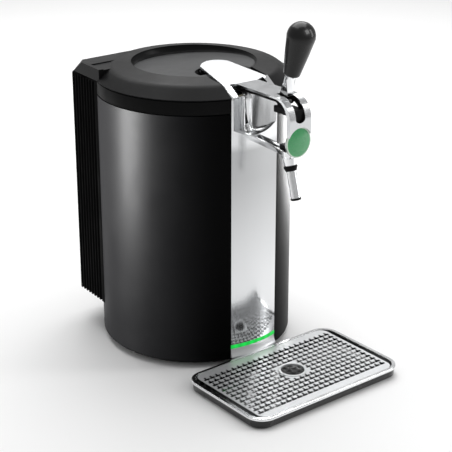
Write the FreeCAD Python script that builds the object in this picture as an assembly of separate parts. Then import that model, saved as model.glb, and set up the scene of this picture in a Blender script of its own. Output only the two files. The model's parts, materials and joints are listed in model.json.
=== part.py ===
"""Mini keg beer dispenser: insulated barrel with a hinged lid, a tap with a lever and a pinch
mechanism, a rear cooling unit and a separate drip tray.

Millimetres. +Z is up, the tap faces -Y and the counter is z = 0. Every piece is drawn about the
barrel's axis; the output step then moves it so that the origin lies halfway along the object.
"""

import FreeCAD
import Part

import math
import os

Vec = FreeCAD.Vector
X_AXIS = Vec(1, 0, 0)
Y_AXIS = Vec(0, 1, 0)
Z_AXIS = Vec(0, 0, 1)

# ---------------------------------------------------------------- driving dimensions
# fits
SEAT = 0.3                # gap between a moving piece and the piece it rests in
RUNNING_FIT = 0.05        # radial clearance of a pin in its bore
BIG = 600.0               # larger than the whole object, for cutting blocks

# the keg and the well that holds it
KEG_DIAMETER = 169.0
KEG_HEIGHT = 250.0
KEG_CLEARANCE = 2.0
KEG_HEADROOM = 6.0
WELL_WALL = 1.2

# barrel
BARREL_RADIUS = 130.0
BARREL_WALL = 2.5
BARREL_BOTTOM = 7.5
BARREL_TOP = 349.0
BOTTOM_ROUNDING = 4.0
BOTTOM_FLANGE = 26.0
SEAM_GAP = 1.0
FOAM_BOTTOM = 66.0

# collar between the barrel and the lid
COLLAR_TOP = 367.8
COLLAR_WALL = 4.0
COLLAR_FLANGE = 3.0
COLLAR_SPIGOT = 5.0
SPIGOT_WALL = 1.6
SEAM_CHAMFER = 0.8

# foot of the barrel
PAN_RADIUS = BARREL_RADIUS - 8.5
PAN_BOTTOM = 3.0
PAN_WALL = 2.2
FOOT_RADIUS = 9.0
FOOT_CIRCLE = PAN_RADIUS - 15.5
FOOT_RECESS = 0.8
FOOT_COUNT = 4
BASE_SCREW_INSET = 6.0     # from the flange's inner edge

# front panel, its scoop and the light
PANEL_HALF_ANGLE = 16.6
PANEL_PROUD = 1.0
PANEL_SHEET = 1.6
PANEL_BORDER = 2.8
SCOOP_DEPTH = 25.0        # from the panel's face to the back of the scoop
SCOOP_TOP = 364.0
SCOOP_FLOOR = 318.0       # lowest line of the dished floor
SCOOP_DISH = 66.0         # radius of the dished floor
LIGHT_BOTTOM = 24.5
LIGHT_HEIGHT = 5.0
LIGHT_PROUD = 0.4
LIGHT_DEPTH = 8.0
SKIRT_BOTTOM = 11.0
SKIRT_FLARE = 3.0

# tube channel and lower arm of the tap
CHANNEL_WIDTH = 13.2
CHANNEL_WALL = 2.0
CHANNEL_DEPTH = 6.5
CHANNEL_FLOOR = 1.6
CHANNEL_BEND = 16.0
CHANNEL_MOUTH_RADIUS = 14.0
CHANNEL_MOUTH_Z = 357.0
CHANNEL_MOUTH_ANGLE = 50.0
ARM_RIM_Z = 316.7         # top of the lower arm's walls at the end of its bend
ARM_DROP = 4.6            # how much the lower arm falls towards the spout

# spout
SPOUT_Y = BARREL_RADIUS + 62.0
SPOUT_TOP = 304.0
SPOUT_LEAN = 16.0
SPOUT_BOSS_RADIUS = 8.8
CONE_TOP_RADIUS = 9.4
CONE_BOTTOM_RADIUS = 7.4
CONE_LENGTH = 11.2
SPOUT_COLLAR_RADIUS = 8.8
SPOUT_COLLAR_LOW_RADIUS = 7.0
SPOUT_COLLAR_LENGTH = 6.5
NOZZLE_RADIUS = 6.3
NOZZLE_WALL = 0.9
NOZZLE_END = 52.0
NOZZLE_SOCKET = 4.0
TIP_LENGTH = 3.0
TIP_PROUD = 0.4

# lid
LID_TOP = 387.4           # rim of the dish, the lid's highest line
LID_SEAM = 0.4
LID_EDGE = 1.3            # upright edge of the lid above the seam
CROWN_RADIUS = BARREL_RADIUS - 18.0    # where the gently sloping crown turns into the steep shoulder
CROWN_EDGE_Z = 383.0
CROWN_BLEND = 4.8         # length of the rounding on each side of that edge
DISH_RADIUS = 82.9
DISH_DEPTH_BACK = 11.4
DISH_DEPTH_FRONT = 0.4
DISH_LEDGE = 2.2
LEDGE_DEPTH_BACK = 5.0
LEDGE_DEPTH_FRONT = 0.2
DISC_THICKNESS = 2.2
DISC_GAP = 0.7
LINER_PLATE = 2.6
LINER_RADIUS = BARREL_RADIUS - 6.0
PLUG_CLEARANCE = 3.0
PLUG_BOTTOM = 346.0
PLUG_WALL = 2.0
PLUG_CHAMFER = 3.0
SEAL_INNER = 90.0
SEAL_WIDTH = 5.0
SEAL_GROOVE = 1.0
SEAL_LIFT = 0.1           # gap left under the resting seal
NOTCH_HALF_WIDTH = 27.5
NOTCH_BACK = BARREL_RADIUS - 38.0
TRIM_WIDTH = 9.0
TRIM_SHEET = 1.2
TUBE_SLOT = 24.0
POCKET_RADIUS = 36.0
POCKET_FLOOR = 373.5

# rear housing and the raised shoulder of the lid above its left side
SHOULDER_TOP = 384.0      # height of the raised shoulder, where the rear bevel starts
HOUSING_FRONT = 46.0
HOUSING_HALF_FRONT = BARREL_RADIUS - 10.5
HOUSING_HALF_BACK = BARREL_RADIUS - 15.5
HOUSING_SIDE_BACK = BARREL_RADIUS - 11.2
HOUSING_PROUD = 15.0      # least reach of the housing behind the barrel
HOUSING_HALF_REAR = BARREL_RADIUS - 41.0
HOUSING_BOTTOM = 51.0
HOUSING_WALL = 4.0
LID_BACK = BARREL_RADIUS - 26.0        # rear edge of the raised shoulder
BEVEL_SLOPE = 1.284       # fall of the rear bevel for each millimetre back
CORNER_SIDE = LID_BACK - 12.0          # where the raised shoulder's corner facet starts on the side
CORNER_CUT = 8.5
INLAY_EDGE = HOUSING_HALF_FRONT - 7.3  # the stepped inlay in the raised shoulder
INLAY_BACK = LID_BACK - 28.0
INLAY_STEP = 1.2
INLAY_GROOVE = 1.2
RIB_PITCH = 7.4
RIB_WIDTH = 2.8
GROOVE_DEPTH = 3.0
RIB_TOP = 365.0
SIDE_RIBS = 8
SLOT_WIDTH = 3.6
SLOT_COUNT = 6
SLOT_BOTTOM = 150.0
SLOT_TOP = 310.0

# lid hinge
LID_HINGE_Y = BARREL_RADIUS + 1.5
LID_HINGE_Z = 366.0
LID_KNUCKLE_RADIUS = 3.6
LID_PIN_RADIUS = 1.75
LID_HINGE_X = 40.0
LID_KNUCKLE = 14.0
HOUSING_KNUCKLE = 7.5
APRON_WALL = 4.0          # round neck of the housing behind the barrel
APRON_TOP = 367.4
APRON_BOTTOM = 325.0

# cooling unit
COOLER_Z = 230.0
COLD_BLOCK_SIDE = 50.0
COLD_BLOCK_DEPTH = 11.0
PELTIER_SIDE = 40.0
PELTIER_DEPTH = 4.0
SINK_SIDE = 90.0
SINK_BASE = 5.0
SINK_DEPTH = 22.0
FIN_COUNT = 12
FIN_SHEET = 1.5
FAN_SIDE = 80.0
FAN_DEPTH = 14.5
FAN_BORE = 38.0
FAN_HUB = 15.0
BLADE_REACH = 36.6
BLADE_COUNT = 7
BLADE_SHEET = 1.4
BLADE_TWIST = 32.0
FAN_SHAFT_RADIUS = 1.5
SPIDER_ARM = 5.0
GRILLE_SIDE = 84.0
GRILLE_BAR = 2.6
GRILLE_SHEET = 3.0
COOLER_CLEARANCE = 1.5
FAN_ROOM = 5.8            # from the fan to the outside of the back wall

# electrics
SUPPLY_SIZE = (104.0, 62.0, 32.0)
SUPPLY_AT = (-54.0, 8.0)
BOARD_SIZE = (80.0, 50.0, 1.6)
BOARD_AT = (-30.0, -68.0)
BOARD_POST = 5.0
BOARD_POST_RADIUS = 3.0
BOARD_POST_INSET = 6.0
RELAY_SIZE = (18.0, 14.0, 12.0)
RELAY_AT = (20.0, 18.0)
CAN_RADIUS = 4.0
CAN_HEIGHT = 11.0
CAN_AT = ((50.0, 25.0), (61.0, 25.0))
INLET_X = 48.0
INLET_Z = 84.0
INLET_SIZE = (27.0, 19.0)
SWITCH_X = 12.0
SWITCH_SIZE = (21.0, 15.0)
SWITCH_BEZEL = 2.0
ROCKER_TILT = 7.0
ROCKER_REACH = 3.14       # of the rocker's raised end behind the back wall
LED_BOARD = (60.0, 1.6, 12.0)

# upper tap: steel cover
COVER_SHEET = 3.0
HEAD_SHEET = 6.0
COVER_BACK_RADIUS = 29.0
COVER_BACK_CENTRE = 61.0
COVER_HINGE_Y = 42.0
COVER_HINGE_Z = 384.4
COVER_BACK_Z = 393.0
ARM_TOP = 382.0
CREASE_RADIUS = BARREL_RADIUS - 19.0
PLATE_HALF_WIDTH = 36.5
ARM_HALF_WIDTH = 17.3
HEAD_FACE = BARREL_RADIUS + 82.5
HEAD_BEND = 27.0
BADGE_Z = 327.0
BADGE_RADIUS = 17.9
BADGE_RIM = 1.4
BADGE_SINK = 4.1          # depth of the badge's seat behind the head's face
BADGE_RIM_DEPTH = 1.6
BADGE_DOME = 3.2
LEVER_SLOT = 10.6
LEVER_SLOT_LOW = 352.0
SLOT_SKIN = 1.4           # bare steel round the lever's slot, lined in black below it
SLOT_LINING = 2.0
LINER_DEPTH = 4.0
LINER_HALF_WIDTH = 15.0
COVER_KNUCKLE_RADIUS = 4.0
COVER_PIN_RADIUS = 1.5
COVER_LUG = 6.0
COVER_LUG_X = 16.0

# lever and pinch plunger
LEVER_Y = HEAD_FACE - 29.5
LEVER_Z = 375.5
LEVER_PIN_RADIUS = 2.0
LEVER_HUB_RADIUS = 7.0
LEVER_BLADE = 9.4
LEVER_LEAN = 18.0
GRIP_BASE = 36.0
GRIP_BASE_RADIUS = 8.6
GRIP_BALL_RADIUS = 17.6
GRIP_BALL_AT = 88.0
GRIP_RECESS = 1.0
CHEEK = 3.5
CHEEK_GAP = 0.4
PLUNGER_WIDTH = 8.0
PLUNGER_DEPTH = 4.0
PLUNGER_TOP = 350.0
PLUNGER_FOOT = 5.0
PLUNGER_NOSE = 6.0
PLUNGER_NOSE_Y = SPOUT_Y - 10.0
PINCHED_TUBE = 1.2        # room left under the plunger's nose
GUIDE_WALL = 2.5
GUIDE_HEIGHT = 8.0
GUIDE_Z = (324.0, 339.0)
LINER_BAND = 3.0
LINER_NARROW = 9.0        # half width of the frame inside the head
LINER_NARROW_Z = 352.0

# drip tray
TRAY_WIDTH = 247.0
TRAY_FAR = BARREL_RADIUS + 5.0
TRAY_NEAR = TRAY_FAR + 152.0
TRAY_CORNER = 24.0
TRAY_RIM_TOP = 15.0
TRAY_RIM_BOTTOM = 12.0
TRAY_RIM_WIDTH = 5.2
TRAY_WALL = 2.5
TRAY_INSET = 1.6
TRAY_UNDERCUT = 4.5
TRAY_BOTTOM = 1.6
TRAY_FLOOR = 2.4
TRAY_FOOT_RADIUS = 8.0
TRAY_FOOT_RECESS = 0.6
TRAY_FOOT_INSET = 30.0
GRILLE_TOP = 14.6
GRILLE_PLATE = 1.4
GRILLE_END_GAP = 6.8
GRILLE_LONG_GAP = 0.5
HOLE_PITCH = 9.05
HOLE_ROWS = 13
HOLE_COLUMNS = 24
HOLE_LENGTH = 6.2
HOLE_HEIGHT = 4.4
DRAIN_Y = TRAY_FAR + 72.0
DRAIN_RADIUS = 15.5
DRAIN_LIP = 3.6
GRILLE_STUD_RADIUS = 3.0

# screws
SCREW_RADIUS = 2.0
SCREW_HEAD_RADIUS = 3.8
SCREW_HEAD = 2.2
SCREW_BITE = 6.0          # length of a screw beyond the piece it holds
PILLAR_RADIUS = 6.0
PILLAR_X = 76.0
PILLAR_Z = (72.0, 312.0)

# ---------------------------------------------------------------- derived values
WELL_RADIUS = KEG_DIAMETER / 2 + KEG_CLEARANCE
WELL_OUTER = WELL_RADIUS + WELL_WALL
WELL_FLOOR = PLUG_BOTTOM - KEG_HEADROOM - KEG_HEIGHT
COLLAR_BOTTOM = BARREL_TOP + SEAM_GAP
LID_BOTTOM = COLLAR_TOP + LID_SEAM
PANEL_RADIUS = BARREL_RADIUS + PANEL_PROUD
PANEL_BACK = PANEL_RADIUS - PANEL_SHEET
PANEL_HALF_WIDTH = PANEL_RADIUS * math.sin(math.radians(PANEL_HALF_ANGLE))
PLUG_RADIUS = WELL_RADIUS - PLUG_CLEARANCE
LIGHT_TOP = LIGHT_BOTTOM + LIGHT_HEIGHT
SCOOP_BACK = PANEL_RADIUS - SCOOP_DEPTH
BADGE_SEAT = HEAD_FACE - BADGE_SINK
SCOOP_HALF_WIDTH = PANEL_HALF_WIDTH - PANEL_BORDER
COOLER_BACK = WELL_OUTER + COLD_BLOCK_DEPTH + PELTIER_DEPTH
SINK_BACK = COOLER_BACK + SINK_DEPTH
FAN_BACK = SINK_BACK + FAN_DEPTH
HOUSING_BACK = max(FAN_BACK + FAN_ROOM, BARREL_RADIUS + HOUSING_PROUD)
SLOT_END = LEVER_Y - LEVER_HUB_RADIUS - 1.5
AXIS_BEHIND = (TRAY_NEAR - HOUSING_BACK - ROCKER_REACH) / 2   # of the barrel behind the origin


# ---------------------------------------------------------------- shape helpers
def blend(before, corner, after, length):
    """The three points of an arc that rounds a corner, touching both sides at a length from it."""
    here = Vec(corner[0], corner[1], 0)
    arms = [(Vec(p[0], p[1], 0) - here).normalize() for p in (before, after)]
    middle = (arms[0] + arms[1]).normalize()
    half = arms[0].getAngle(arms[1]) / 2
    reach = length / math.cos(half) - length * math.tan(half)
    start, end = [here + arm * length for arm in arms]
    top = here + middle * reach
    return (start.x, start.y), ((top.x, top.y), (end.x, end.y))


def box(x_range, y_range, z_range):
    """A block between the given pairs of limits."""
    size = [high - low for low, high in (x_range, y_range, z_range)]
    return Part.makeBox(*size, Vec(x_range[0], y_range[0], z_range[0]))


def rod(radius, start, end):
    """A round bar from one point to another."""
    axis = Vec(*end) - Vec(*start)
    return Part.makeCylinder(radius, axis.Length, Vec(*start), axis)


def tube(outer, inner, start, end):
    """A round tube from one point to another."""
    return rod(outer, start, end).cut(rod(inner, start, end))


def wire(points):
    """A closed wire; a step that is a pair of points is an arc through the first to the second."""
    edges = []
    here = points[0]
    for step in list(points[1:]) + [points[0]]:
        if isinstance(step[0], Vec):
            edges.append(Part.Arc(here, step[0], step[1]).toShape())
            here = step[1]
        elif (step - here).Length > 1e-6:
            edges.append(Part.makeLine(here, step))
            here = step
    return Part.Wire(edges)


def in_plane(points, make):
    """Maps plane coordinates to space; an arc is a pair of pairs."""
    placed = []
    for step in points:
        if isinstance(step[0], tuple):
            placed.append((make(*step[0]), make(*step[1])))
        else:
            placed.append(make(*step))
    return placed


def turned(points, angle=360.0, start=0.0):
    """A solid of revolution about Z from a half section of (radius, z) points."""
    face = Part.Face(wire(in_plane(points, lambda r, z: Vec(r, 0, z))))
    face.rotate(Vec(0, 0, 0), Z_AXIS, start)
    return face.revolve(Vec(0, 0, 0), Z_AXIS, angle)


def prism(points, z_range):
    """An upright prism on (x, y) points."""
    low, high = z_range
    face = Part.Face(wire(in_plane(points, lambda x, y: Vec(x, y, low))))
    return face.extrude(Vec(0, 0, high - low))


def side_profile(points, x_range):
    """A bar along X with the given (y, z) side view."""
    low, high = x_range
    face = Part.Face(wire(in_plane(points, lambda y, z: Vec(low, y, z))))
    return face.extrude(Vec(high - low, 0, 0))


def rounded_slab(half_x, y_range, z_range, corner):
    """A slab centred on x = 0 with rounded upright corners."""
    slab = box((-half_x, half_x), y_range, z_range)
    upright = [e for e in slab.Edges if abs(e.tangentAt(e.FirstParameter).z) > 0.9]
    return slab.makeFillet(corner, upright)


def polar(radius, angle, z=0.0):
    """The point at a radius and an angle in degrees about Z."""
    turn = math.radians(angle)
    return Vec(radius * math.cos(turn), radius * math.sin(turn), z)


def front_sector(profile, half_angle):
    """A section turned about Z over an angle centred on the front."""
    return turned(profile, 2 * half_angle, -90.0 - half_angle)


def joined(shapes):
    """One solid from touching or overlapping shapes."""
    whole = shapes[0]
    for shape in shapes[1:]:
        whole = whole.fuse(shape)
    return whole.removeSplitter()


def group(shapes):
    """Separate solids kept together."""
    return Part.makeCompound(shapes)


def both_sides(make):
    """The same piece at +x and -x."""
    return [make(1), make(-1)]


def screw(start, end):
    """A pan-head screw whose head sits outside its start point."""
    direction = (Vec(*end) - Vec(*start)).normalize()
    seat = Vec(*start)
    head = Part.makeCylinder(SCREW_HEAD_RADIUS, SCREW_HEAD, seat - direction * SCREW_HEAD, direction)
    shank = rod(SCREW_RADIUS, tuple(seat), end)
    return head.fuse(shank).removeSplitter()


# ---------------------------------------------------------------- shared outlines
def scoop_cylinder(extra):
    """Upright cylinder that hollows the scoop, grown by extra."""
    sagitta = SCOOP_DEPTH - (PANEL_RADIUS - math.sqrt(PANEL_RADIUS ** 2 - SCOOP_HALF_WIDTH ** 2))
    radius = (SCOOP_HALF_WIDTH ** 2 + sagitta ** 2) / (2 * sagitta)
    centre_y = -SCOOP_BACK - radius
    return rod(radius + extra, (0, centre_y, SCOOP_FLOOR - BIG / 4), (0, centre_y, SCOOP_TOP))


def scoop_dish(extra):
    """Lying cylinder that gives the scoop its dished floor, grown by extra."""
    centre_z = SCOOP_FLOOR + SCOOP_DISH
    dish = rod(SCOOP_DISH + extra, (0, -BIG / 2, centre_z), (0, 0, centre_z))
    return dish.common(box((-BIG / 2, BIG / 2), (-BIG / 2, 0), (0, SCOOP_TOP)))


def scoop_space(extra):
    """The volume of the scoop, grown by extra on its walls."""
    return scoop_cylinder(extra).common(scoop_dish(extra))


def bevel_y(z):
    """Where the rear bevel stands at a height."""
    return LID_BACK + (SHOULDER_TOP - z) / BEVEL_SLOPE


def behind_bevel(inset):
    """Everything behind the rear bevel, moved forwards by inset along the slope's normal."""
    shift = inset * math.sqrt(1 + 1 / BEVEL_SLOPE ** 2)
    low = 0.0
    points = [(bevel_y(LID_TOP + 20) - shift, LID_TOP + 20), (bevel_y(low) - shift, low),
              (BIG, low), (BIG, LID_TOP + 20)]
    return side_profile(points, (-BIG / 2, BIG / 2))


def housing_plan(inset):
    """Plan of the rear housing, drawn in by a wall."""
    front = HOUSING_HALF_FRONT - inset
    back = HOUSING_HALF_BACK - inset
    rear = HOUSING_HALF_REAR - inset * 0.42
    corner_y = HOUSING_SIDE_BACK - inset * 0.42
    rear_y = HOUSING_BACK - inset
    return [(-front, HOUSING_FRONT), (front, HOUSING_FRONT), (back, corner_y), (rear, rear_y),
            (-rear, rear_y), (-back, corner_y)]


# ---------------------------------------------------------------- barrel
def outer_shell():
    """Moulded barrel with a rounded foot edge and an inward flange."""
    r = BARREL_RADIUS
    w = BARREL_WALL
    z = BARREL_BOTTOM
    b = BOTTOM_ROUNDING
    k = b * (1 - math.sqrt(0.5))
    i = b - w
    j = i * (1 - math.sqrt(0.5))
    shell = turned([
        (r - w, BARREL_TOP), (r, BARREL_TOP), (r, z + b), ((r - k, z + k), (r - b, z)),
        (r - BOTTOM_FLANGE, z), (r - BOTTOM_FLANGE, z + w), (r - b, z + w),
        ((r - w - j, z + w + j), (r - w, z + b))])
    rebate = front_sector([
        (PANEL_BACK, SKIRT_BOTTOM - 1), (r + 1, SKIRT_BOTTOM - 1), (r + 1, BARREL_TOP + 1),
        (PANEL_BACK, BARREL_TOP + 1)], PANEL_HALF_ANGLE)
    light_slot = front_sector([
        (r - 2 * w, LIGHT_BOTTOM), (r + 1, LIGHT_BOTTOM), (r + 1, LIGHT_TOP),
        (r - 2 * w, LIGHT_TOP)], PANEL_HALF_ANGLE - 2)
    shell = shell.cut(rebate).cut(light_slot).cut(scoop_space(PANEL_SHEET)).cut(channel_bar())
    for point in base_screw_points():
        shell = shell.cut(rod(SCREW_RADIUS, (point.x, point.y, 0), (point.x, point.y, 2 * z)))
    return shell.cut(cooler_space()).cut(wiring_hole()).cut(housing_screws())


def wiring_hole():
    """Hole above the housing's floor where the wires enter the barrel's foot."""
    middle = (HOUSING_BOTTOM + HOUSING_WALL + FOAM_BOTTOM) / 2
    return rod(4.5, (INLET_X, BARREL_RADIUS / 2, middle), (INLET_X, BARREL_RADIUS, middle))


def collar_ring():
    """Black ring between the barrel and the lid, with a spigot down into the barrel."""
    r = BARREL_RADIUS
    inner = r - BARREL_WALL
    ring = turned([
        (r, COLLAR_BOTTOM + SEAM_CHAMFER), (r, COLLAR_TOP - SEAM_CHAMFER),
        (r - SEAM_CHAMFER, COLLAR_TOP), (WELL_OUTER, COLLAR_TOP),
        (WELL_OUTER, COLLAR_TOP - COLLAR_FLANGE), (r - COLLAR_WALL, COLLAR_TOP - COLLAR_FLANGE),
        (r - COLLAR_WALL, COLLAR_BOTTOM - COLLAR_SPIGOT), (inner, COLLAR_BOTTOM - COLLAR_SPIGOT),
        (inner, COLLAR_BOTTOM), (r - SEAM_CHAMFER, COLLAR_BOTTOM)])
    panel_bed = front_sector([
        (PANEL_BACK, COLLAR_BOTTOM - 1), (r + 1, COLLAR_BOTTOM - 1), (r + 1, COLLAR_TOP + 1),
        (PANEL_BACK, COLLAR_TOP + 1)], PANEL_HALF_ANGLE)
    scoop = scoop_space(PANEL_SHEET)
    mouth_half = SCOOP_HALF_WIDTH + PANEL_SHEET
    mouth = box((-mouth_half, mouth_half), (-BIG / 2, -SCOOP_BACK), (SCOOP_TOP - 1, COLLAR_TOP + 1))
    return ring.cut(panel_bed).cut(scoop).cut(mouth).cut(channel_bar())


def insulation_foam():
    """Foam between the well and the shell, hollowed for the scoop and the cooling unit."""
    r = BARREL_RADIUS - BARREL_WALL
    top = COLLAR_TOP - COLLAR_FLANGE
    step = COLLAR_BOTTOM - COLLAR_SPIGOT
    foam = turned([
        (0, FOAM_BOTTOM), (r, FOAM_BOTTOM), (r, step), (r - SPIGOT_WALL - 1, step),
        (r - SPIGOT_WALL - 1, top), (WELL_OUTER, top), (WELL_OUTER, WELL_FLOOR - WELL_WALL),
        (0, WELL_FLOOR - WELL_WALL)])
    wide = SCOOP_HALF_WIDTH + PANEL_SHEET
    half = CHANNEL_WIDTH / 2
    mouth = box((-wide, wide), (-BIG / 2, -SCOOP_BACK), (SCOOP_TOP - 1, BIG))
    low = arm_rim(PANEL_RADIUS) - CHANNEL_DEPTH
    channel_room = box((-half, half), (-BIG / 2, -SCOOP_BACK + 6), (low, BIG))
    for space in (scoop_space(PANEL_SHEET), mouth, channel_room, cooler_space(), housing_screws()):
        foam = foam.cut(space)
    return foam


def keg_well():
    """Deep-drawn aluminium well for the keg."""
    top = COLLAR_TOP - 1.0
    return turned([
        (0, WELL_FLOOR - WELL_WALL), (WELL_OUTER, WELL_FLOOR - WELL_WALL), (WELL_OUTER, top),
        (WELL_RADIUS, top), (WELL_RADIUS, WELL_FLOOR + 3), (WELL_RADIUS - 3, WELL_FLOOR),
        (0, WELL_FLOOR)])


def foot_points():
    """Where the barrel's feet stand."""
    return [polar(FOOT_CIRCLE, 45 + k * 360 / FOOT_COUNT) for k in range(FOOT_COUNT)]


def base_screw_points():
    """Where the foot dish is screwed to the barrel's flange."""
    return [polar(BARREL_RADIUS - BOTTOM_FLANGE + BASE_SCREW_INSET, k * 90) for k in range(4)]


def base_pan():
    """Recessed black dish that closes the barrel's foot and carries the electrics."""
    r = PAN_RADIUS
    pan = turned([
        (0, PAN_BOTTOM), (r - 2, PAN_BOTTOM), (r, PAN_BOTTOM + 2), (r, BARREL_BOTTOM),
        (BARREL_RADIUS - BOTTOM_FLANGE, BARREL_BOTTOM),
        (BARREL_RADIUS - BOTTOM_FLANGE - 4, PAN_BOTTOM + PAN_WALL), (0, PAN_BOTTOM + PAN_WALL)])
    for point in foot_points():
        seat = Vec(point.x, point.y, PAN_BOTTOM)
        pan = pan.cut(Part.makeCylinder(FOOT_RADIUS, FOOT_RECESS, seat))
    for point in base_screw_points():
        pan = pan.cut(rod(SCREW_RADIUS, (point.x, point.y, 0), (point.x, point.y, BARREL_BOTTOM + 1)))
        pan = pan.cut(rod(SCREW_HEAD_RADIUS, (point.x, point.y, 0), (point.x, point.y, PAN_BOTTOM + 1)))
    posts = []
    x, y = BOARD_AT
    length, width, _ = BOARD_SIZE
    i = BOARD_POST_INSET
    for px in (x + i, x + length - i):
        for py in (y + i, y + width - i):
            post = (px, py, PAN_BOTTOM + PAN_WALL)
            posts.append(rod(BOARD_POST_RADIUS, post, (px, py, PAN_BOTTOM + PAN_WALL + BOARD_POST)))
    return joined([pan] + posts)


def rubber_feet():
    """Four turned rubber feet seated in the dish."""
    feet = []
    for point in foot_points():
        foot = turned([
            (0, 0), (FOOT_RADIUS - 1.5, 0), (FOOT_RADIUS, 1.5),
            (FOOT_RADIUS, PAN_BOTTOM + FOOT_RECESS), (0, PAN_BOTTOM + FOOT_RECESS)])
        foot.translate(point)
        feet.append(foot)
    return group(feet)


def base_screws():
    """Screws through the foot dish into the barrel's flange."""
    screws = []
    for point in base_screw_points():
        seat = (point.x, point.y, PAN_BOTTOM + 1)
        screws.append(screw(seat, (point.x, point.y, BARREL_BOTTOM + BARREL_WALL + 1)))
    return group(screws)


# ---------------------------------------------------------------- front panel and light
def front_panel():
    """Polished panel: a slice of a cylinder whose upper part is drawn back into a scoop."""
    sheet = front_sector([
        (PANEL_BACK, LIGHT_TOP), (PANEL_RADIUS, LIGHT_TOP), (PANEL_RADIUS, COLLAR_TOP),
        (PANEL_BACK, COLLAR_TOP)], PANEL_HALF_ANGLE)
    opening = scoop_space(0)
    above = box((-SCOOP_HALF_WIDTH, SCOOP_HALF_WIDTH), (-BIG / 2, 0), (SCOOP_TOP - 1, COLLAR_TOP + 1))
    bowl = scoop_space(PANEL_SHEET).common(rod(PANEL_RADIUS, (0, 0, 0), (0, 0, COLLAR_TOP)))
    panel = joined([sheet, bowl])
    return panel.cut(opening).cut(above).cut(channel_bar())


def panel_foot():
    """Skirt under the light that flares out to the counter."""
    high = LIGHT_BOTTOM
    low = SKIRT_BOTTOM
    r = PANEL_RADIUS
    half_way = ((r + SKIRT_FLARE * 0.25, (high + low) / 2 - 1), (r + SKIRT_FLARE, low + 1.5))
    return front_sector([
        (PANEL_BACK, high), (r, high), half_way, (r + SKIRT_FLARE, low), (PANEL_BACK, low)],
        PANEL_HALF_ANGLE)


def light_strip():
    """Green light guide across the panel, lit from behind."""
    r = PANEL_RADIUS + LIGHT_PROUD
    face = front_sector([
        (PANEL_BACK, LIGHT_BOTTOM), (r, LIGHT_BOTTOM), (r, LIGHT_TOP), (PANEL_BACK, LIGHT_TOP)],
        PANEL_HALF_ANGLE)
    stem = front_sector([
        (r - LIGHT_DEPTH, LIGHT_BOTTOM), (PANEL_BACK, LIGHT_BOTTOM), (PANEL_BACK, LIGHT_TOP),
        (r - LIGHT_DEPTH, LIGHT_TOP)], PANEL_HALF_ANGLE - 2)
    return joined([face, stem]).cut(light_board())


def light_board():
    """Board with the diodes behind the light guide."""
    length, depth, height = LED_BOARD
    middle = (LIGHT_BOTTOM + LIGHT_TOP) / 2
    front = PANEL_RADIUS + LIGHT_PROUD - LIGHT_DEPTH
    return box((-length / 2, length / 2), (-front, -front + depth),
               (middle - height / 2, middle + height / 2))


# ---------------------------------------------------------------- lower arm and spout
def arm_rim(y):
    """Height of the lower arm's rim at a distance in front of the axis."""
    start = SCOOP_BACK + CHANNEL_BEND
    return ARM_RIM_Z - ARM_DROP * (y - start) / (SPOUT_Y - start)


def channel_side(back, front, bend_out, bend_in):
    """Side view of the bent channel between a back line and a front line."""
    turn = math.radians(CHANNEL_MOUTH_ANGLE)
    half = turn / 2
    centre_y = -SCOOP_BACK + CHANNEL_MOUTH_RADIUS
    centre_z = CHANNEL_MOUTH_Z

    def mouth(radius, angle):
        return (centre_y - radius * math.cos(angle), centre_z + radius * math.sin(angle))

    r_back = CHANNEL_MOUTH_RADIUS + back
    r_front = CHANNEL_MOUTH_RADIUS + front
    y_back = -SCOOP_BACK - back
    y_front = -SCOOP_BACK - front
    low = ARM_RIM_Z - CHANNEL_DEPTH + back
    high = low + front - back
    end_low = arm_rim(SPOUT_Y) - CHANNEL_DEPTH + back
    end_high = end_low + front - back
    kb = bend_out * (1 - math.sqrt(0.5))
    kf = bend_in * (1 - math.sqrt(0.5))
    return [
        (y_back, low + bend_out), ((y_back - kb, low + kb), (y_back - bend_out, low)),
        (-SPOUT_Y, end_low), (-SPOUT_Y, end_high), (y_front - bend_in, high),
        ((y_front - kf, high + kf), (y_front, high + bend_in)), (y_front, CHANNEL_MOUTH_Z),
        (mouth(r_front, half), mouth(r_front, turn)), mouth(r_back, turn),
        (mouth(r_back, half), (y_back, CHANNEL_MOUTH_Z))]


def channel_bar():
    """Outer form of the tube channel and the lower arm, uncut."""
    half = CHANNEL_WIDTH / 2
    return side_profile(channel_side(0.0, CHANNEL_DEPTH, CHANNEL_BEND, CHANNEL_BEND - CHANNEL_DEPTH),
                        (-half, half))


def tube_channel():
    """Open channel that leads the beer tube down the scoop and out to the spout."""
    half = CHANNEL_WIDTH / 2 - CHANNEL_WALL
    over = 4.0
    bore = side_profile(
        channel_side(CHANNEL_FLOOR, CHANNEL_DEPTH + over, CHANNEL_BEND - CHANNEL_FLOOR,
                     CHANNEL_BEND - CHANNEL_DEPTH - over), (-half, half))
    boss = rod(SPOUT_BOSS_RADIUS, (0, -SPOUT_Y, SPOUT_TOP), (0, -SPOUT_Y, arm_rim(SPOUT_Y)))
    outlet = rod(half, (0, -SPOUT_Y, SPOUT_TOP - 1), (0, -SPOUT_Y, BIG / 2))
    return joined([channel_bar(), boss]).cut(bore).cut(outlet)


def along_spout(shape):
    """Places a shape made about the Z axis, going down from zero, at the leaning spout."""
    shape.rotate(Vec(0, 0, 0), X_AXIS, -SPOUT_LEAN)
    shape.translate(Vec(0, -SPOUT_Y, SPOUT_TOP))
    return shape


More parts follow.
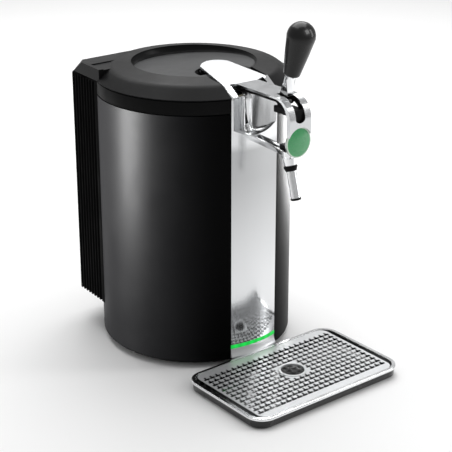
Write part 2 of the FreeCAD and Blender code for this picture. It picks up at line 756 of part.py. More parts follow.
def spout_cone():
    """Polished cone under the arm's end."""
    overlap = CONE_TOP_RADIUS * math.sin(math.radians(SPOUT_LEAN)) + 1
    slope = (CONE_TOP_RADIUS - CONE_BOTTOM_RADIUS) / CONE_LENGTH
    bore = NOZZLE_RADIUS - NOZZLE_WALL
    low = -CONE_LENGTH
    cone = along_spout(turned([
        (bore, overlap), (CONE_TOP_RADIUS + slope * overlap, overlap), (CONE_BOTTOM_RADIUS, low),
        (bore, low)]))
    return cone.common(box((-BIG / 2, BIG / 2), (-BIG / 2, 0), (0, SPOUT_TOP)))


def spout_collar():
    """Black ring that holds the nozzle."""
    top = -CONE_LENGTH
    low = top - SPOUT_COLLAR_LENGTH
    bore = NOZZLE_RADIUS
    return along_spout(turned([
        (bore - NOZZLE_WALL, top), (SPOUT_COLLAR_RADIUS, top), (SPOUT_COLLAR_RADIUS, top - 1.5),
        (SPOUT_COLLAR_LOW_RADIUS, low), (bore, low), (bore, low + NOZZLE_SOCKET),
        (bore - NOZZLE_WALL, low + NOZZLE_SOCKET)]))


def spout_nozzle():
    """Steel pouring tube."""
    top = -CONE_LENGTH - SPOUT_COLLAR_LENGTH + NOZZLE_SOCKET
    inner = NOZZLE_RADIUS - NOZZLE_WALL
    return along_spout(turned([
        (inner, top), (NOZZLE_RADIUS, top), (NOZZLE_RADIUS, -NOZZLE_END), (inner, -NOZZLE_END)]))


def nozzle_tip():
    """Black lip ring on the nozzle's end."""
    inner = NOZZLE_RADIUS - NOZZLE_WALL
    outer = NOZZLE_RADIUS + TIP_PROUD
    top = -NOZZLE_END
    return along_spout(turned([
        (inner, top), (outer, top), (outer, top - TIP_LENGTH + 1), (outer - 1, top - TIP_LENGTH),
        (inner, top - TIP_LENGTH)]))


# ---------------------------------------------------------------- rear housing
def side_grooves():
    """Upright grooves that leave the ribs on both sides of the housing."""
    length = math.hypot(HOUSING_HALF_FRONT - HOUSING_HALF_BACK, HOUSING_SIDE_BACK - HOUSING_FRONT)
    slant = math.degrees(math.asin((HOUSING_HALF_FRONT - HOUSING_HALF_BACK) / length))
    grooves = []
    width = RIB_PITCH - RIB_WIDTH
    for k in range(SIDE_RIBS):
        near = length - RIB_WIDTH - k * RIB_PITCH
        groove = box((-GROOVE_DEPTH, GROOVE_DEPTH), (near - width, near), (HOUSING_BOTTOM - 1, RIB_TOP))
        for side in (1, -1):
            placed = groove.copy()
            placed.rotate(Vec(0, 0, 0), Z_AXIS, side * slant)
            placed.translate(Vec(side * HOUSING_HALF_FRONT, HOUSING_FRONT, 0))
            grooves.append(placed)
    return grooves


def corner_slots():
    """Air slots through both slanted rear corners."""
    run_x = HOUSING_HALF_BACK - HOUSING_HALF_REAR
    run_y = HOUSING_BACK - HOUSING_SIDE_BACK
    length = math.hypot(run_x, run_y)
    slant = math.degrees(math.atan2(run_x, run_y))
    pitch = length / SLOT_COUNT
    slots = []
    for k in range(SLOT_COUNT):
        middle = pitch * (k + 0.5)
        slot = box((-2 * HOUSING_WALL, HOUSING_WALL), (middle - SLOT_WIDTH / 2, middle + SLOT_WIDTH / 2),
                   (SLOT_BOTTOM, SLOT_TOP))
        for side in (1, -1):
            placed = slot.copy()
            if side < 0:
                placed = placed.mirror(Vec(0, 0, 0), X_AXIS)
            placed.rotate(Vec(0, 0, 0), Z_AXIS, side * slant)
            placed.translate(Vec(side * HOUSING_HALF_BACK, HOUSING_SIDE_BACK, 0))
            slots.append(placed)
    return slots


def grille_opening():
    """Square opening in the back wall behind the fan."""
    half = GRILLE_SIDE / 2
    return box((-half, half), (HOUSING_BACK - HOUSING_WALL - 1, HOUSING_BACK + 1),
               (COOLER_Z - half, COOLER_Z + half))


def inlet_opening():
    """Opening in the back wall for the mains inlet."""
    width, height = INLET_SIZE
    return box((INLET_X - width / 2, INLET_X + width / 2), (HOUSING_BACK - 2 * HOUSING_WALL, HOUSING_BACK + 1),
               (INLET_Z - height / 2, INLET_Z + height / 2))


def switch_opening():
    """Opening in the back wall for the switch."""
    width, height = SWITCH_SIZE
    return box((SWITCH_X - width / 2, SWITCH_X + width / 2),
               (HOUSING_BACK - 2 * HOUSING_WALL, HOUSING_BACK + 1),
               (INLET_Z - height / 2, INLET_Z + height / 2))


def housing_screws():
    """Long screws through pillars in the housing into the barrel."""
    screws = []
    for side in (1, -1):
        for z in PILLAR_Z:
            x = side * PILLAR_X
            reach = math.sqrt(BARREL_RADIUS ** 2 - PILLAR_X ** 2) - SCREW_BITE
            seat = HOUSING_BACK - SCREW_HEAD
            screws.append(screw((x, seat, z), (x, reach, z)))
    return group(screws)


def screw_pillars():
    """Pillars that carry the long screws between the back wall and the barrel."""
    pillars = []
    for side in (1, -1):
        for z in PILLAR_Z:
            x = side * PILLAR_X
            pillars.append(rod(PILLAR_RADIUS, (x, BARREL_RADIUS / 2, z), (x, HOUSING_BACK, z)))
    return pillars


def lid_knuckle_middles():
    """Middles of the lid's two hinge knuckles."""
    return (-LID_HINGE_X, LID_HINGE_X)


def rear_housing():
    """Ribbed housing round the cooling unit, fitted to the barrel, with the lid's hinge ears."""
    outer = prism(housing_plan(0.0), (HOUSING_BOTTOM, COLLAR_TOP)).cut(behind_bevel(0.0))
    roof = COLLAR_TOP - HOUSING_WALL
    inner = prism(housing_plan(HOUSING_WALL), (HOUSING_BOTTOM + HOUSING_WALL, roof))
    inner = inner.cut(behind_bevel(HOUSING_WALL))
    half = HOUSING_HALF_BACK - 2 * HOUSING_WALL
    apron = rod(BARREL_RADIUS + APRON_WALL, (0, 0, APRON_BOTTOM), (0, 0, APRON_TOP))
    apron = apron.common(box((-half, half), (BARREL_RADIUS / 2, BIG), (0, APRON_TOP)))
    ears = []
    for middle in lid_knuckle_middles():
        for side in (1, -1):
            inner_x = middle + side * (LID_KNUCKLE / 2 + SEAT)
            ears.append(hinge_ear(inner_x, inner_x + side * HOUSING_KNUCKLE))
    shell = joined([outer.cut(inner), apron] + screw_pillars() + ears)
    shell = shell.cut(rod(BARREL_RADIUS, (0, 0, 0), (0, 0, BIG)))
    shell = shell.cut(group(side_grooves())).cut(group(corner_slots()))
    shell = shell.cut(grille_opening()).cut(inlet_opening()).cut(switch_opening())
    swing = LID_KNUCKLE / 2 + SEAT
    for middle in lid_knuckle_middles():
        shell = shell.cut(rod(LID_KNUCKLE_RADIUS + SEAT, (middle - swing, LID_HINGE_Y, LID_HINGE_Z),
                              (middle + swing, LID_HINGE_Y, LID_HINGE_Z)))
    return shell.cut(lid_hinge_pins()).cut(housing_screws())


def hinge_ear(x_start, x_end):
    """A knuckle of the housing round the lid's hinge pin, standing on the rear bevel."""
    x_range = (min(x_start, x_end), max(x_start, x_end))
    r = LID_KNUCKLE_RADIUS
    y = LID_HINGE_Y
    z = LID_HINGE_Z
    foot_z = APRON_BOTTOM + 15
    barrel = rod(r, (x_range[0], y, z), (x_range[1], y, z))
    web = side_profile([(y - r, z), (y + r, z), (y + r, z - r), (bevel_y(foot_z), foot_z),
                        (BARREL_RADIUS - 20, foot_z), (BARREL_RADIUS - 20, z - 2 * r)], x_range)
    return barrel.fuse(web).removeSplitter()


# ---------------------------------------------------------------- cooling unit
def cooler_space():
    """Recess in foam and barrel for the cold block and the heat sink."""
    half = SINK_SIDE / 2 + COOLER_CLEARANCE
    small = COLD_BLOCK_SIDE / 2
    wide = box((-half, half), (WELL_OUTER + COLD_BLOCK_DEPTH, BIG), (COOLER_Z - half, COOLER_Z + half))
    narrow = box((-small, small), (0, BIG), (COOLER_Z - small, COOLER_Z + small))
    return wide.fuse(narrow).cut(rod(WELL_OUTER, (0, 0, 0), (0, 0, BIG)))


def square_block(side, y_range):
    """A square block centred on the cooling unit."""
    half = side / 2
    return box((-half, half), y_range, (COOLER_Z - half, COOLER_Z + half))


def cold_block():
    """Aluminium block fitted to the well's wall."""
    block = square_block(COLD_BLOCK_SIDE, (WELL_OUTER - 6, WELL_OUTER + COLD_BLOCK_DEPTH))
    return block.cut(rod(WELL_OUTER, (0, 0, 0), (0, 0, BIG)))


def peltier_module():
    """Thermoelectric module between the cold block and the heat sink."""
    start = WELL_OUTER + COLD_BLOCK_DEPTH
    return square_block(PELTIER_SIDE, (start, start + PELTIER_DEPTH))


def heat_sink():
    """Finned aluminium heat sink."""
    base = square_block(SINK_SIDE, (COOLER_BACK, COOLER_BACK + SINK_BASE))
    fins = []
    half = SINK_SIDE / 2
    pitch = (SINK_SIDE - FIN_SHEET) / (FIN_COUNT - 1)
    for k in range(FIN_COUNT):
        x = -half + k * pitch
        fins.append(box((x, x + FIN_SHEET), (COOLER_BACK + SINK_BASE, SINK_BACK),
                        (COOLER_Z - half, COOLER_Z + half)))
    return joined([base] + fins)


def fan_frame():
    """Square fan frame with a spider that carries the motor's shaft."""
    frame = square_block(FAN_SIDE, (SINK_BACK, FAN_BACK))
    bore = rod(FAN_BORE, (0, SINK_BACK - 1, COOLER_Z), (0, FAN_BACK + 1, COOLER_Z))
    hub = rod(FAN_HUB - 1, (0, FAN_BACK - 3, COOLER_Z), (0, FAN_BACK, COOLER_Z))
    shaft = rod(FAN_SHAFT_RADIUS, (0, SINK_BACK + 2, COOLER_Z), (0, FAN_BACK, COOLER_Z))
    half = SPIDER_ARM / 2
    arms = []
    for turn in (0, 90):
        arm = box((-FAN_BORE - 1, FAN_BORE + 1), (FAN_BACK - 2, FAN_BACK), (-half, half))
        arm.rotate(Vec(0, 0, 0), Y_AXIS, turn + 45)
        arm.translate(Vec(0, 0, COOLER_Z))
        arms.append(arm)
    return joined([frame.cut(bore), hub, shaft] + arms)


def fan_rotor():
    """Fan wheel with pitched blades on a cup-shaped hub."""
    front = SINK_BACK + 1.5
    back = FAN_BACK - 4.0
    hub = rod(FAN_HUB, (0, front, 0), (0, back, 0))
    middle = (front + back) / 2
    chord = (back - front) / math.cos(math.radians(90 - BLADE_TWIST)) * 0.5
    blades = []
    for k in range(BLADE_COUNT):
        blade = box((FAN_HUB - 1, BLADE_REACH), (-BLADE_SHEET / 2, BLADE_SHEET / 2), (-chord, chord))
        blade.rotate(Vec(0, 0, 0), X_AXIS, BLADE_TWIST)
        blade.translate(Vec(0, middle, 0))
        blade.rotate(Vec(0, 0, 0), Y_AXIS, k * 360 / BLADE_COUNT)
        blades.append(blade)
    reach = rod(BLADE_REACH, (0, front, 0), (0, back, 0))
    wheel = joined([hub] + blades).common(reach)
    wheel = wheel.cut(rod(FAN_SHAFT_RADIUS + RUNNING_FIT, (0, front - 1, 0), (0, back + 1, 0)))
    wheel.translate(Vec(0, 0, COOLER_Z))
    return wheel


def rear_grille():
    """Louvred grille over the fan, clipped into the back wall."""
    half = GRILLE_SIDE / 2
    low = HOUSING_BACK - GRILLE_SHEET
    frame = box((-half, half), (low, HOUSING_BACK), (COOLER_Z - half, COOLER_Z + half))
    gap = RIB_PITCH - GRILLE_BAR
    slots = []
    count = int((GRILLE_SIDE - 2 * GRILLE_BAR) // RIB_PITCH)
    start = -(count * RIB_PITCH - GRILLE_BAR) / 2
    for k in range(count):
        x = start + k * RIB_PITCH
        for low_z, high_z in ((-half + 4, -1.5), (1.5, half - 4)):
            slots.append(box((x, x + gap), (low - 1, HOUSING_BACK + 1), (COOLER_Z + low_z, COOLER_Z + high_z)))
    return frame.cut(group(slots))


# ---------------------------------------------------------------- electrics
def on_pan(size, place, lift):
    """A block standing on the foot dish."""
    x, y = place
    length, width, height = size
    bottom = PAN_BOTTOM + PAN_WALL + lift
    return box((x, x + length), (y, y + width), (bottom, bottom + height))


def power_supply():
    """Boxed mains supply on the foot dish."""
    body = on_pan(SUPPLY_SIZE, SUPPLY_AT, 0.0)
    upright = [e for e in body.Edges if abs(e.tangentAt(e.FirstParameter).z) > 0.9]
    return body.makeFillet(4.0, upright)


def control_board():
    """Control board with its relay and capacitors, on four posts."""
    board = on_pan(BOARD_SIZE, BOARD_AT, BOARD_POST)
    x, y = BOARD_AT
    thickness = BOARD_SIZE[2]
    relay = on_pan(RELAY_SIZE, (x + RELAY_AT[0], y + RELAY_AT[1]), BOARD_POST + thickness)
    top = PAN_BOTTOM + PAN_WALL + BOARD_POST + thickness
    cans = []
    for dx, dy in CAN_AT:
        cans.append(rod(CAN_RADIUS, (x + dx, y + dy, top), (x + dx, y + dy, top + CAN_HEIGHT)))
    return joined([board, relay] + cans)


def power_inlet():
    """Mains inlet with a flange, a shroud and three pins; the cord itself is separate."""
    width, height = INLET_SIZE
    y = HOUSING_BACK
    x_range = (INLET_X - width / 2, INLET_X + width / 2)
    z_range = (INLET_Z - height / 2, INLET_Z + height / 2)
    body = box(x_range, (y - 16, y), z_range)
    flange = box((x_range[0] - 4, x_range[1] + 4), (y, y + 2), (z_range[0] - 2, z_range[1] + 2))
    socket = box((x_range[0] + 2, x_range[1] - 2), (y - 12, y + 3), (z_range[0] + 2, z_range[1] - 2))
    pins = []
    for dx, dz in ((-7, -2), (0, 2), (7, -2)):
        pins.append(box((INLET_X + dx - 1, INLET_X + dx + 1), (y - 14, y - 3),
                        (INLET_Z + dz - 2, INLET_Z + dz + 2)))
    return joined([joined([body, flange]).cut(socket)] + pins)


def switch_frame():
    """Frame of the rocker switch."""
    width, height = SWITCH_SIZE
    y = HOUSING_BACK
    x_range = (SWITCH_X - width / 2, SWITCH_X + width / 2)
    z_range = (INLET_Z - height / 2, INLET_Z + height / 2)
    body = box(x_range, (y - 14, y), z_range)
    b = SWITCH_BEZEL
    flange = box((x_range[0] - b, x_range[1] + b), (y, y + 1.5), (z_range[0] - b, z_range[1] + b))
    well = box((x_range[0] + b, x_range[1] - b), (y - 9, y + 3), (z_range[0] + b, z_range[1] - b))
    pin = rod(1.2, (x_range[0], y, INLET_Z), (x_range[1], y, INLET_Z))
    return joined([joined([body, flange]).cut(well), pin])


def rocker_button():
    """Rocker that tips about a pin across the frame, resting with one end pressed."""
    width, height = SWITCH_SIZE
    half_x = width / 2 - SWITCH_BEZEL - SEAT
    half_z = height / 2 - SWITCH_BEZEL - 0.9
    face = side_profile([(-2.6, -half_z), (2.6, -half_z), (1.6, 0), (2.6, half_z), (-2.6, half_z),
                         (-4.5, 0)], (-half_x, half_x))
    button = face.cut(rod(1.2 + RUNNING_FIT, (-half_x - 1, 0, 0), (half_x + 1, 0, 0)))
    button.rotate(Vec(0, 0, 0), X_AXIS, ROCKER_TILT)
    button.translate(Vec(SWITCH_X, HOUSING_BACK, INLET_Z))
    return button


# ---------------------------------------------------------------- lid
def lid_round():
    """The turned part of the lid: upright edge, steep shoulder and gently sloping crown."""
    r = BARREL_RADIUS
    foot = (r, LID_BOTTOM + LID_EDGE)
    rim = (DISH_RADIUS, LID_TOP)
    start, rounding = blend(foot, (CROWN_RADIUS, CROWN_EDGE_Z), rim, CROWN_BLEND)
    return turned([
        (0, LID_BOTTOM), (r - SEAM_CHAMFER, LID_BOTTOM), (r, LID_BOTTOM + SEAM_CHAMFER), foot, start,
        rounding, rim, (0, LID_TOP)])


def lid_block():
    """The raised shoulder over the housing's left side, with a stepped inlay and a corner facet."""
    front, _, _, _, corner, side = housing_plan(0.0)
    plan = [front, (0, HOUSING_FRONT), (0, HOUSING_BACK), corner, side]
    top = SHOULDER_TOP
    block = prism(plan, (LID_BOTTOM, top)).cut(behind_bevel(0.0))
    flank = side[0] - (side[0] - front[0]) * (side[1] - CORNER_SIDE) / (side[1] - front[1])
    facet = [Vec(flank, CORNER_SIDE, top), Vec(flank + CORNER_CUT, LID_BACK - 1, top),
             Vec(side[0], bevel_y(RIB_TOP), RIB_TOP)]
    block = block.cut(half_space(facet, Vec(-BIG, BIG, top)))
    inlay_front = -INLAY_EDGE
    inlay = box((inlay_front, 0), (0, INLAY_BACK), (top - INLAY_STEP, top + 1))
    groove = INLAY_GROOVE
    left = box((inlay_front, inlay_front + groove), (0, INLAY_BACK), (top - 2 * INLAY_STEP, top))
    back = box((inlay_front, 0), (INLAY_BACK - groove, INLAY_BACK), (top - 2 * INLAY_STEP, top))
    return block.cut(inlay).cut(left).cut(back)


def half_space(points, inside):
    """A large block on that side of the plane through three points where a given point lies."""
    normal = (points[1] - points[0]).cross(points[2] - points[0]).normalize()
    if normal.dot(inside - points[0]) < 0:
        normal = normal * -1
    return Part.makeCylinder(BIG, BIG, points[0], normal)


def tilted_cylinder(radius, depth_front, depth_back):
    """A cylinder above a floor that slopes down from the front to the back of the dish."""
    top = LID_TOP + 5
    y = DISH_RADIUS
    slab = side_profile([(-y, LID_TOP - depth_front), (y, LID_TOP - depth_back), (y, top), (-y, top)],
                        (-BIG / 4, BIG / 4))
    return slab.common(rod(radius, (0, 0, 0), (0, 0, top)))


def cover_bed():
    """Room in the lid for the tap cover, its hinge and the beer tube."""
    half = NOTCH_HALF_WIDTH
    pocket_y = -COVER_BACK_CENTRE
    notch = box((-half, half), (-BIG / 2, -NOTCH_BACK), (0, BIG))
    step = box((-half, half), (-BIG / 2, pocket_y), (POCKET_FLOOR, BIG))
    slot = box((-TUBE_SLOT / 2, TUBE_SLOT / 2), (-BIG / 2, pocket_y + 6), (0, BIG))
    pocket = rod(POCKET_RADIUS, (0, pocket_y, POCKET_FLOOR), (0, pocket_y, BIG))
    pocket = pocket.common(box((-BIG / 2, BIG / 2), (pocket_y, 0), (0, BIG)))
    return joined([notch, step, slot, pocket])


def cover_shadow():
    """The tap cover's plan and slope, grown by its seat, cut from the lid."""
    half = PLATE_HALF_WIDTH + SEAT
    under = COVER_SHEET + 2 * SEAT
    start = COVER_BACK_CENTRE
    crease = CREASE_RADIUS
    low = side_profile([
        (-start, cover_top(start) - under), (-crease, cover_top(crease) - under),
        (-BIG / 2, cover_top(crease) - under), (-BIG / 2, BIG), (-start, BIG)], (-half, half))
    return low.common(rod(crease + 1, (0, 0, 0), (0, 0, BIG)))


def cover_lug(side):
    """An eye on the lid that carries one end of the tap cover's hinge pin."""
    x_range = tuple(sorted((side * COVER_LUG_X, side * (COVER_LUG_X + COVER_LUG))))
    y = COVER_HINGE_Y
    z = COVER_HINGE_Z
    r = COVER_KNUCKLE_RADIUS
    return side_profile([(-y - r - 2, POCKET_FLOOR), (-y - r, z), ((-y, z + r), (-y + r, z)),
                         (-y + r + 1, POCKET_FLOOR)], x_range)


def lid_knuckle(middle):
    """A knuckle on an arm behind the lid, bored for the lid's hinge pin."""
    x_range = (middle - LID_KNUCKLE / 2, middle + LID_KNUCKLE / 2)
    y = LID_HINGE_Y
    z = LID_HINGE_Z
    r = LID_KNUCKLE_RADIUS
    barrel = rod(r, (x_range[0], y, z), (x_range[1], y, z))
    meet = y - math.sqrt(r ** 2 - (LID_BOTTOM - z) ** 2) + 0.3
    arm = side_profile([(y - 15, LID_BOTTOM), (meet, LID_BOTTOM), (y, z), (y, z + r), (y - 13, z + 2 * r)],
                       x_range)
    bore = rod(LID_PIN_RADIUS + RUNNING_FIT, (x_range[0], y, z), (x_range[1], y, z))
    return barrel.fuse(arm).removeSplitter().cut(bore)


def lid_shell():
    """Outer lid with the sloping dish in its crown."""
    body = joined([lid_block(), lid_round()])
    body = body.cut(tilted_cylinder(DISH_RADIUS, LEDGE_DEPTH_FRONT, LEDGE_DEPTH_BACK))
    body = body.cut(tilted_cylinder(DISH_RADIUS - DISH_LEDGE, DISH_DEPTH_FRONT + DISC_THICKNESS,
                                    DISH_DEPTH_BACK + DISC_THICKNESS))
    body = body.cut(cover_bed()).cut(cover_shadow())
    lugs = both_sides(cover_lug)
    knuckles = [lid_knuckle(middle) for middle in lid_knuckle_middles()]
    plate = rod(LINER_RADIUS, (0, 0, LID_BOTTOM), (0, 0, LID_BOTTOM + LINER_PLATE))
    return joined([body] + lugs + knuckles).cut(plate).cut(cover_hinge_pin())


def lid_disc():
    """Disc laid in the dish, with a narrow gap all round."""
    radius = DISH_RADIUS - DISH_LEDGE - DISC_GAP
    disc = tilted_cylinder(radius, DISH_DEPTH_FRONT + DISC_THICKNESS, DISH_DEPTH_BACK + DISC_THICKNESS)
    above = tilted_cylinder(radius + 5, DISH_DEPTH_FRONT, DISH_DEPTH_BACK)
    return disc.cut(above).cut(cover_bed()).cut(cover_shadow())


def lid_liner():
    """Inner lid: a plate with a hollow plug that reaches into the well."""
    r = PLUG_RADIUS
    c = PLUG_CHAMFER
    plate = rod(LINER_RADIUS, (0, 0, LID_BOTTOM), (0, 0, LID_BOTTOM + LINER_PLATE))
    plug = turned([(0, PLUG_BOTTOM), (r - c, PLUG_BOTTOM), (r, PLUG_BOTTOM + c), (r, LID_BOTTOM),
                   (0, LID_BOTTOM)])
    hollow = rod(r - PLUG_WALL, (0, 0, PLUG_BOTTOM + c), (0, 0, LID_BOTTOM))
    groove = tube(SEAL_INNER + SEAL_WIDTH, SEAL_INNER, (0, 0, LID_BOTTOM), (0, 0, LID_BOTTOM + SEAL_GROOVE))
    body = joined([plate, plug]).cut(hollow).cut(groove)
    half = TUBE_SLOT / 2 + PLUG_WALL
    sleeve = box((-half, half), (-r, -COVER_BACK_CENTRE + 6 + PLUG_WALL), (PLUG_BOTTOM, LID_BOTTOM))
    sleeve = sleeve.common(rod(r - PLUG_WALL, (0, 0, 0), (0, 0, BIG)))
    return joined([body, sleeve]).cut(cover_bed())


def lid_core():
    """Foam inside the lid's plug."""
    core = rod(PLUG_RADIUS - PLUG_WALL, (0, 0, PLUG_BOTTOM + PLUG_CHAMFER), (0, 0, LID_BOTTOM))
    return core.cut(lid_liner()).cut(cover_bed())


def lid_seal():
    """Flat seal under the lid round the well's mouth."""
    low = COLLAR_TOP + SEAL_LIFT
    ring = tube(SEAL_INNER + SEAL_WIDTH, SEAL_INNER, (0, 0, low), (0, 0, LID_BOTTOM + SEAL_GROOVE))
    return ring.cut(cover_bed())


def lid_trim():
    """Two polished legs down the lid's shoulder beside the notch."""
    t = TRIM_SHEET
    r = BARREL_RADIUS
    slope = (LID_BOTTOM + LID_EDGE - CROWN_EDGE_Z) / (r - CROWN_RADIUS)
    low = LID_BOTTOM + 0.5

    def shoulder_z(radius):
        return LID_BOTTOM + LID_EDGE + slope * (radius - r)

    inner = CREASE_RADIUS + 1.5
    band = turned([
        (r, low), (r + t, low), (r + t, shoulder_z(r + t) + t), (inner, shoulder_z(inner) + t),
        (inner, shoulder_z(inner) - t), (r - t, low)])
    band = band.cut(lid_round())
    legs = []
    for side in (1, -1):
        x_range = tuple(sorted((side * NOTCH_HALF_WIDTH, side * (NOTCH_HALF_WIDTH + TRIM_WIDTH))))
        legs.append(band.common(box(x_range, (-BIG / 2, 0), (0, BIG))))
    return group(legs)


def lid_hinge_pins():
    """Two pins fixed in the housing's ears."""
    reach = LID_KNUCKLE / 2 + SEAT + HOUSING_KNUCKLE
    return group([rod(LID_PIN_RADIUS, (x - reach, LID_HINGE_Y, LID_HINGE_Z), (x + reach, LID_HINGE_Y, LID_HINGE_Z))
                  for x in lid_knuckle_middles()])


# ---------------------------------------------------------------- tap cover
def cover_top(y):
    """Height of the cover's top at a distance in front of the axis, behind the crease."""
    back = COVER_BACK_CENTRE - COVER_BACK_RADIUS
    share = (y - back) / (CREASE_RADIUS - back)
    return COVER_BACK_Z + share * (ARM_TOP - COVER_BACK_Z)


def cover_plan():
    """Plan of the cover: round rear end, widening plate and straight arm."""
    r = COVER_BACK_RADIUS
    arm = ARM_HALF_WIDTH
    wide = PLATE_HALF_WIDTH
    middle = -COVER_BACK_CENTRE
    touch = math.radians(38.0)
    side_x = r * math.cos(touch)
    side_y = middle + r * math.sin(touch)
    plate = prism([(-side_x, side_y), ((0, middle + r), (side_x, side_y)), (wide, -CREASE_RADIUS),
                   (-wide, -CREASE_RADIUS)], (0, BIG))
    plate = plate.common(rod(CREASE_RADIUS, (0, 0, 0), (0, 0, BIG)))
    bar = box((-arm, arm), (-BIG / 2, middle), (0, BIG))
    return joined([plate, bar])


def head_front():
    """Front view of the cover: the arm's width ending round the badge."""
    arm = ARM_HALF_WIDTH
    bar = box((-arm, arm), (-BIG / 2, 0), (BADGE_Z, BIG))
    plate = box((-PLATE_HALF_WIDTH, PLATE_HALF_WIDTH), (-CREASE_RADIUS, 0), (BADGE_Z, BIG))
    disc = rod(BADGE_RADIUS + BADGE_RIM, (0, -BIG / 2, BADGE_Z), (0, 0, BADGE_Z))
    return joined([bar, plate, disc])


def cover_side(top_inset, face_inset):
    """Side view of the cover's sheet surface, from its rear end to the foot of the head."""
    back = COVER_BACK_CENTRE - COVER_BACK_RADIUS
    bend_y = HEAD_FACE - HEAD_BEND
    k = math.sqrt(0.5)
    radius_y = HEAD_BEND - face_inset
    radius_z = HEAD_BEND - top_inset
    centre_z = ARM_TOP - HEAD_BEND
    foot = BADGE_Z - BADGE_RADIUS - BADGE_RIM - 1
    return [
        (-back + 5, cover_top(back - 5) - top_inset), (-CREASE_RADIUS, ARM_TOP - top_inset),
        (-bend_y, ARM_TOP - top_inset),
        ((-bend_y - k * radius_y, centre_z + k * radius_z), (-bend_y - radius_y, centre_z)),
        (-bend_y - radius_y, foot)]


def cover_layer(top_insets, face_insets, half):
    """A bent strip between two depths under the cover's surface."""
    outer = cover_side(top_insets[0], face_insets[0])
    inner = cover_side(top_insets[1], face_insets[1])
    reverse = [inner[4], inner[3][1], (inner[3][0], inner[2]), inner[1], inner[0]]
    return side_profile(outer + reverse, (-half, half))


def lever_slot():
    """Slot through the cover's bend in which the lever swings."""
    r = LEVER_SLOT / 2
    top = LEVER_SLOT_LOW + r
    slot = box((-r, r), (-BIG / 2, -SLOT_END), (top, BIG))
    return slot.fuse(rod(r, (0, -BIG / 2, top), (0, -LEVER_Y, top)))


def lining_room():
    """Where the black frame lines the slot, under a skin of steel."""
    layer = cover_layer((SLOT_SKIN, COVER_SHEET), (SLOT_SKIN, HEAD_SHEET), LINER_NARROW)
    return layer.common(box((-BIG / 2, BIG / 2), (-BIG / 2, -SLOT_END + SLOT_LINING),
                            (LEVER_SLOT_LOW - SLOT_LINING, BIG)))


def tap_cover():
    """Polished steel cover: plate over the hinge, arm and head in one formed piece."""
    sheet = cover_layer((0.0, COVER_SHEET), (0.0, HEAD_SHEET), BIG / 6)
    cover = sheet.common(cover_plan()).common(head_front())
    cover = cover.cut(lever_slot()).cut(lining_room())
    outer = BADGE_RADIUS + BADGE_RIM
    seat = rod(outer, (0, -BADGE_SEAT, BADGE_Z), (0, -HEAD_FACE - 1, BADGE_Z))
    disc = rod(outer, (0, -HEAD_FACE + HEAD_SHEET, BADGE_Z), (0, -BADGE_SEAT, BADGE_Z))
    return joined([cover.cut(seat), disc])


def cover_knuckle(side):
    """A knuckle under the plate, bored for the cover's hinge pin."""
    inner = COVER_LUG_X - SEAT
    x_range = tuple(sorted((side * inner, side * (inner - COVER_LUG))))
    r = COVER_KNUCKLE_RADIUS
    y = COVER_HINGE_Y
    z = COVER_HINGE_Z
    t = COVER_SHEET
    return side_profile([(-y - r, cover_top(y + r) - t), (-y - r, z), ((-y, z - r), (-y + r, z)),
                         (-y + r, cover_top(y - r) - t)], x_range)


def lever_cheek(side):
    """A cheek beside the lever's blade that holds one end of the lever pin."""
    inner = LEVER_BLADE / 2 + CHEEK_GAP
    x_range = tuple(sorted((side * inner, side * (inner + CHEEK))))
    top = ARM_TOP - COVER_SHEET
    y = LEVER_Y
    z = LEVER_Z
    return side_profile([(-y + 8, top), (-y - 2, top), (-y - 7, z - 2), ((-y, z - 7), (-y + 7, z - 2))],
                        x_range)


def plunger_guide(z):
    """A bridge inside the head that keeps the plunger upright."""
    face = HEAD_FACE - HEAD_SHEET
    half = PLUNGER_WIDTH / 2 + SEAT
    depth = PLUNGER_DEPTH + 2 * SEAT
    wide = LINER_NARROW
    block = box((-wide, wide), (-face, -face + depth + GUIDE_WALL), (z, z + GUIDE_HEIGHT))
    return block.cut(box((-half, half), (-face, -face + depth), (0, BIG)))


def cover_liner():
    """Black frame under the cover with the hinge knuckles, the lever's cheeks and the guides."""
    t = COVER_SHEET
    half = LINER_HALF_WIDTH
    start = COVER_HINGE_Y
    room = LEVER_BLADE / 2 + CHEEK_GAP
    band = LINER_BAND
    layer = cover_layer((t, t + LINER_DEPTH), (HEAD_SHEET, HEAD_SHEET + band), half)
    layer = layer.common(box((-half, half), (-BIG / 2, -start), (GUIDE_Z[0], BIG)))
    for side in (1, -1):
        x_range = tuple(sorted((side * LINER_NARROW, side * BIG)))
        layer = layer.cut(box(x_range, (-BIG / 2, -LEVER_Y), (0, LINER_NARROW_Z)))
    rails = layer.cut(box((-room, room), (-BIG / 2, -SLOT_END), (0, BIG)))
    pieces = both_sides(cover_knuckle) + both_sides(lever_cheek) + [lining_room().cut(lever_slot())]
    frame = joined([rails] + pieces + [plunger_guide(z) for z in GUIDE_Z])
    bore = rod(COVER_PIN_RADIUS + RUNNING_FIT, (-half - 1, -start, COVER_HINGE_Z),
               (half + 1, -start, COVER_HINGE_Z))
    return frame.cut(lever_pin()).cut(bore)


def cover_hinge_pin():
    """Pin fixed in the lid's lugs that carries the tap cover."""
    reach = COVER_LUG_X + COVER_LUG
    return rod(COVER_PIN_RADIUS, (-reach, -COVER_HINGE_Y, COVER_HINGE_Z), (reach, -COVER_HINGE_Y, COVER_HINGE_Z))


def lever_pin():
    """Pin fixed in the cheeks that carries the lever."""
    reach = LEVER_BLADE / 2 + CHEEK_GAP + CHEEK
    return rod(LEVER_PIN_RADIUS, (-reach, -LEVER_Y, LEVER_Z), (reach, -LEVER_Y, LEVER_Z))


def badge_ring():
    """Pale rim round the badge."""
    outer = BADGE_RADIUS + BADGE_RIM
    return tube(outer, BADGE_RADIUS, (0, -BADGE_SEAT, BADGE_Z), (0, -BADGE_SEAT - BADGE_RIM_DEPTH, BADGE_Z))


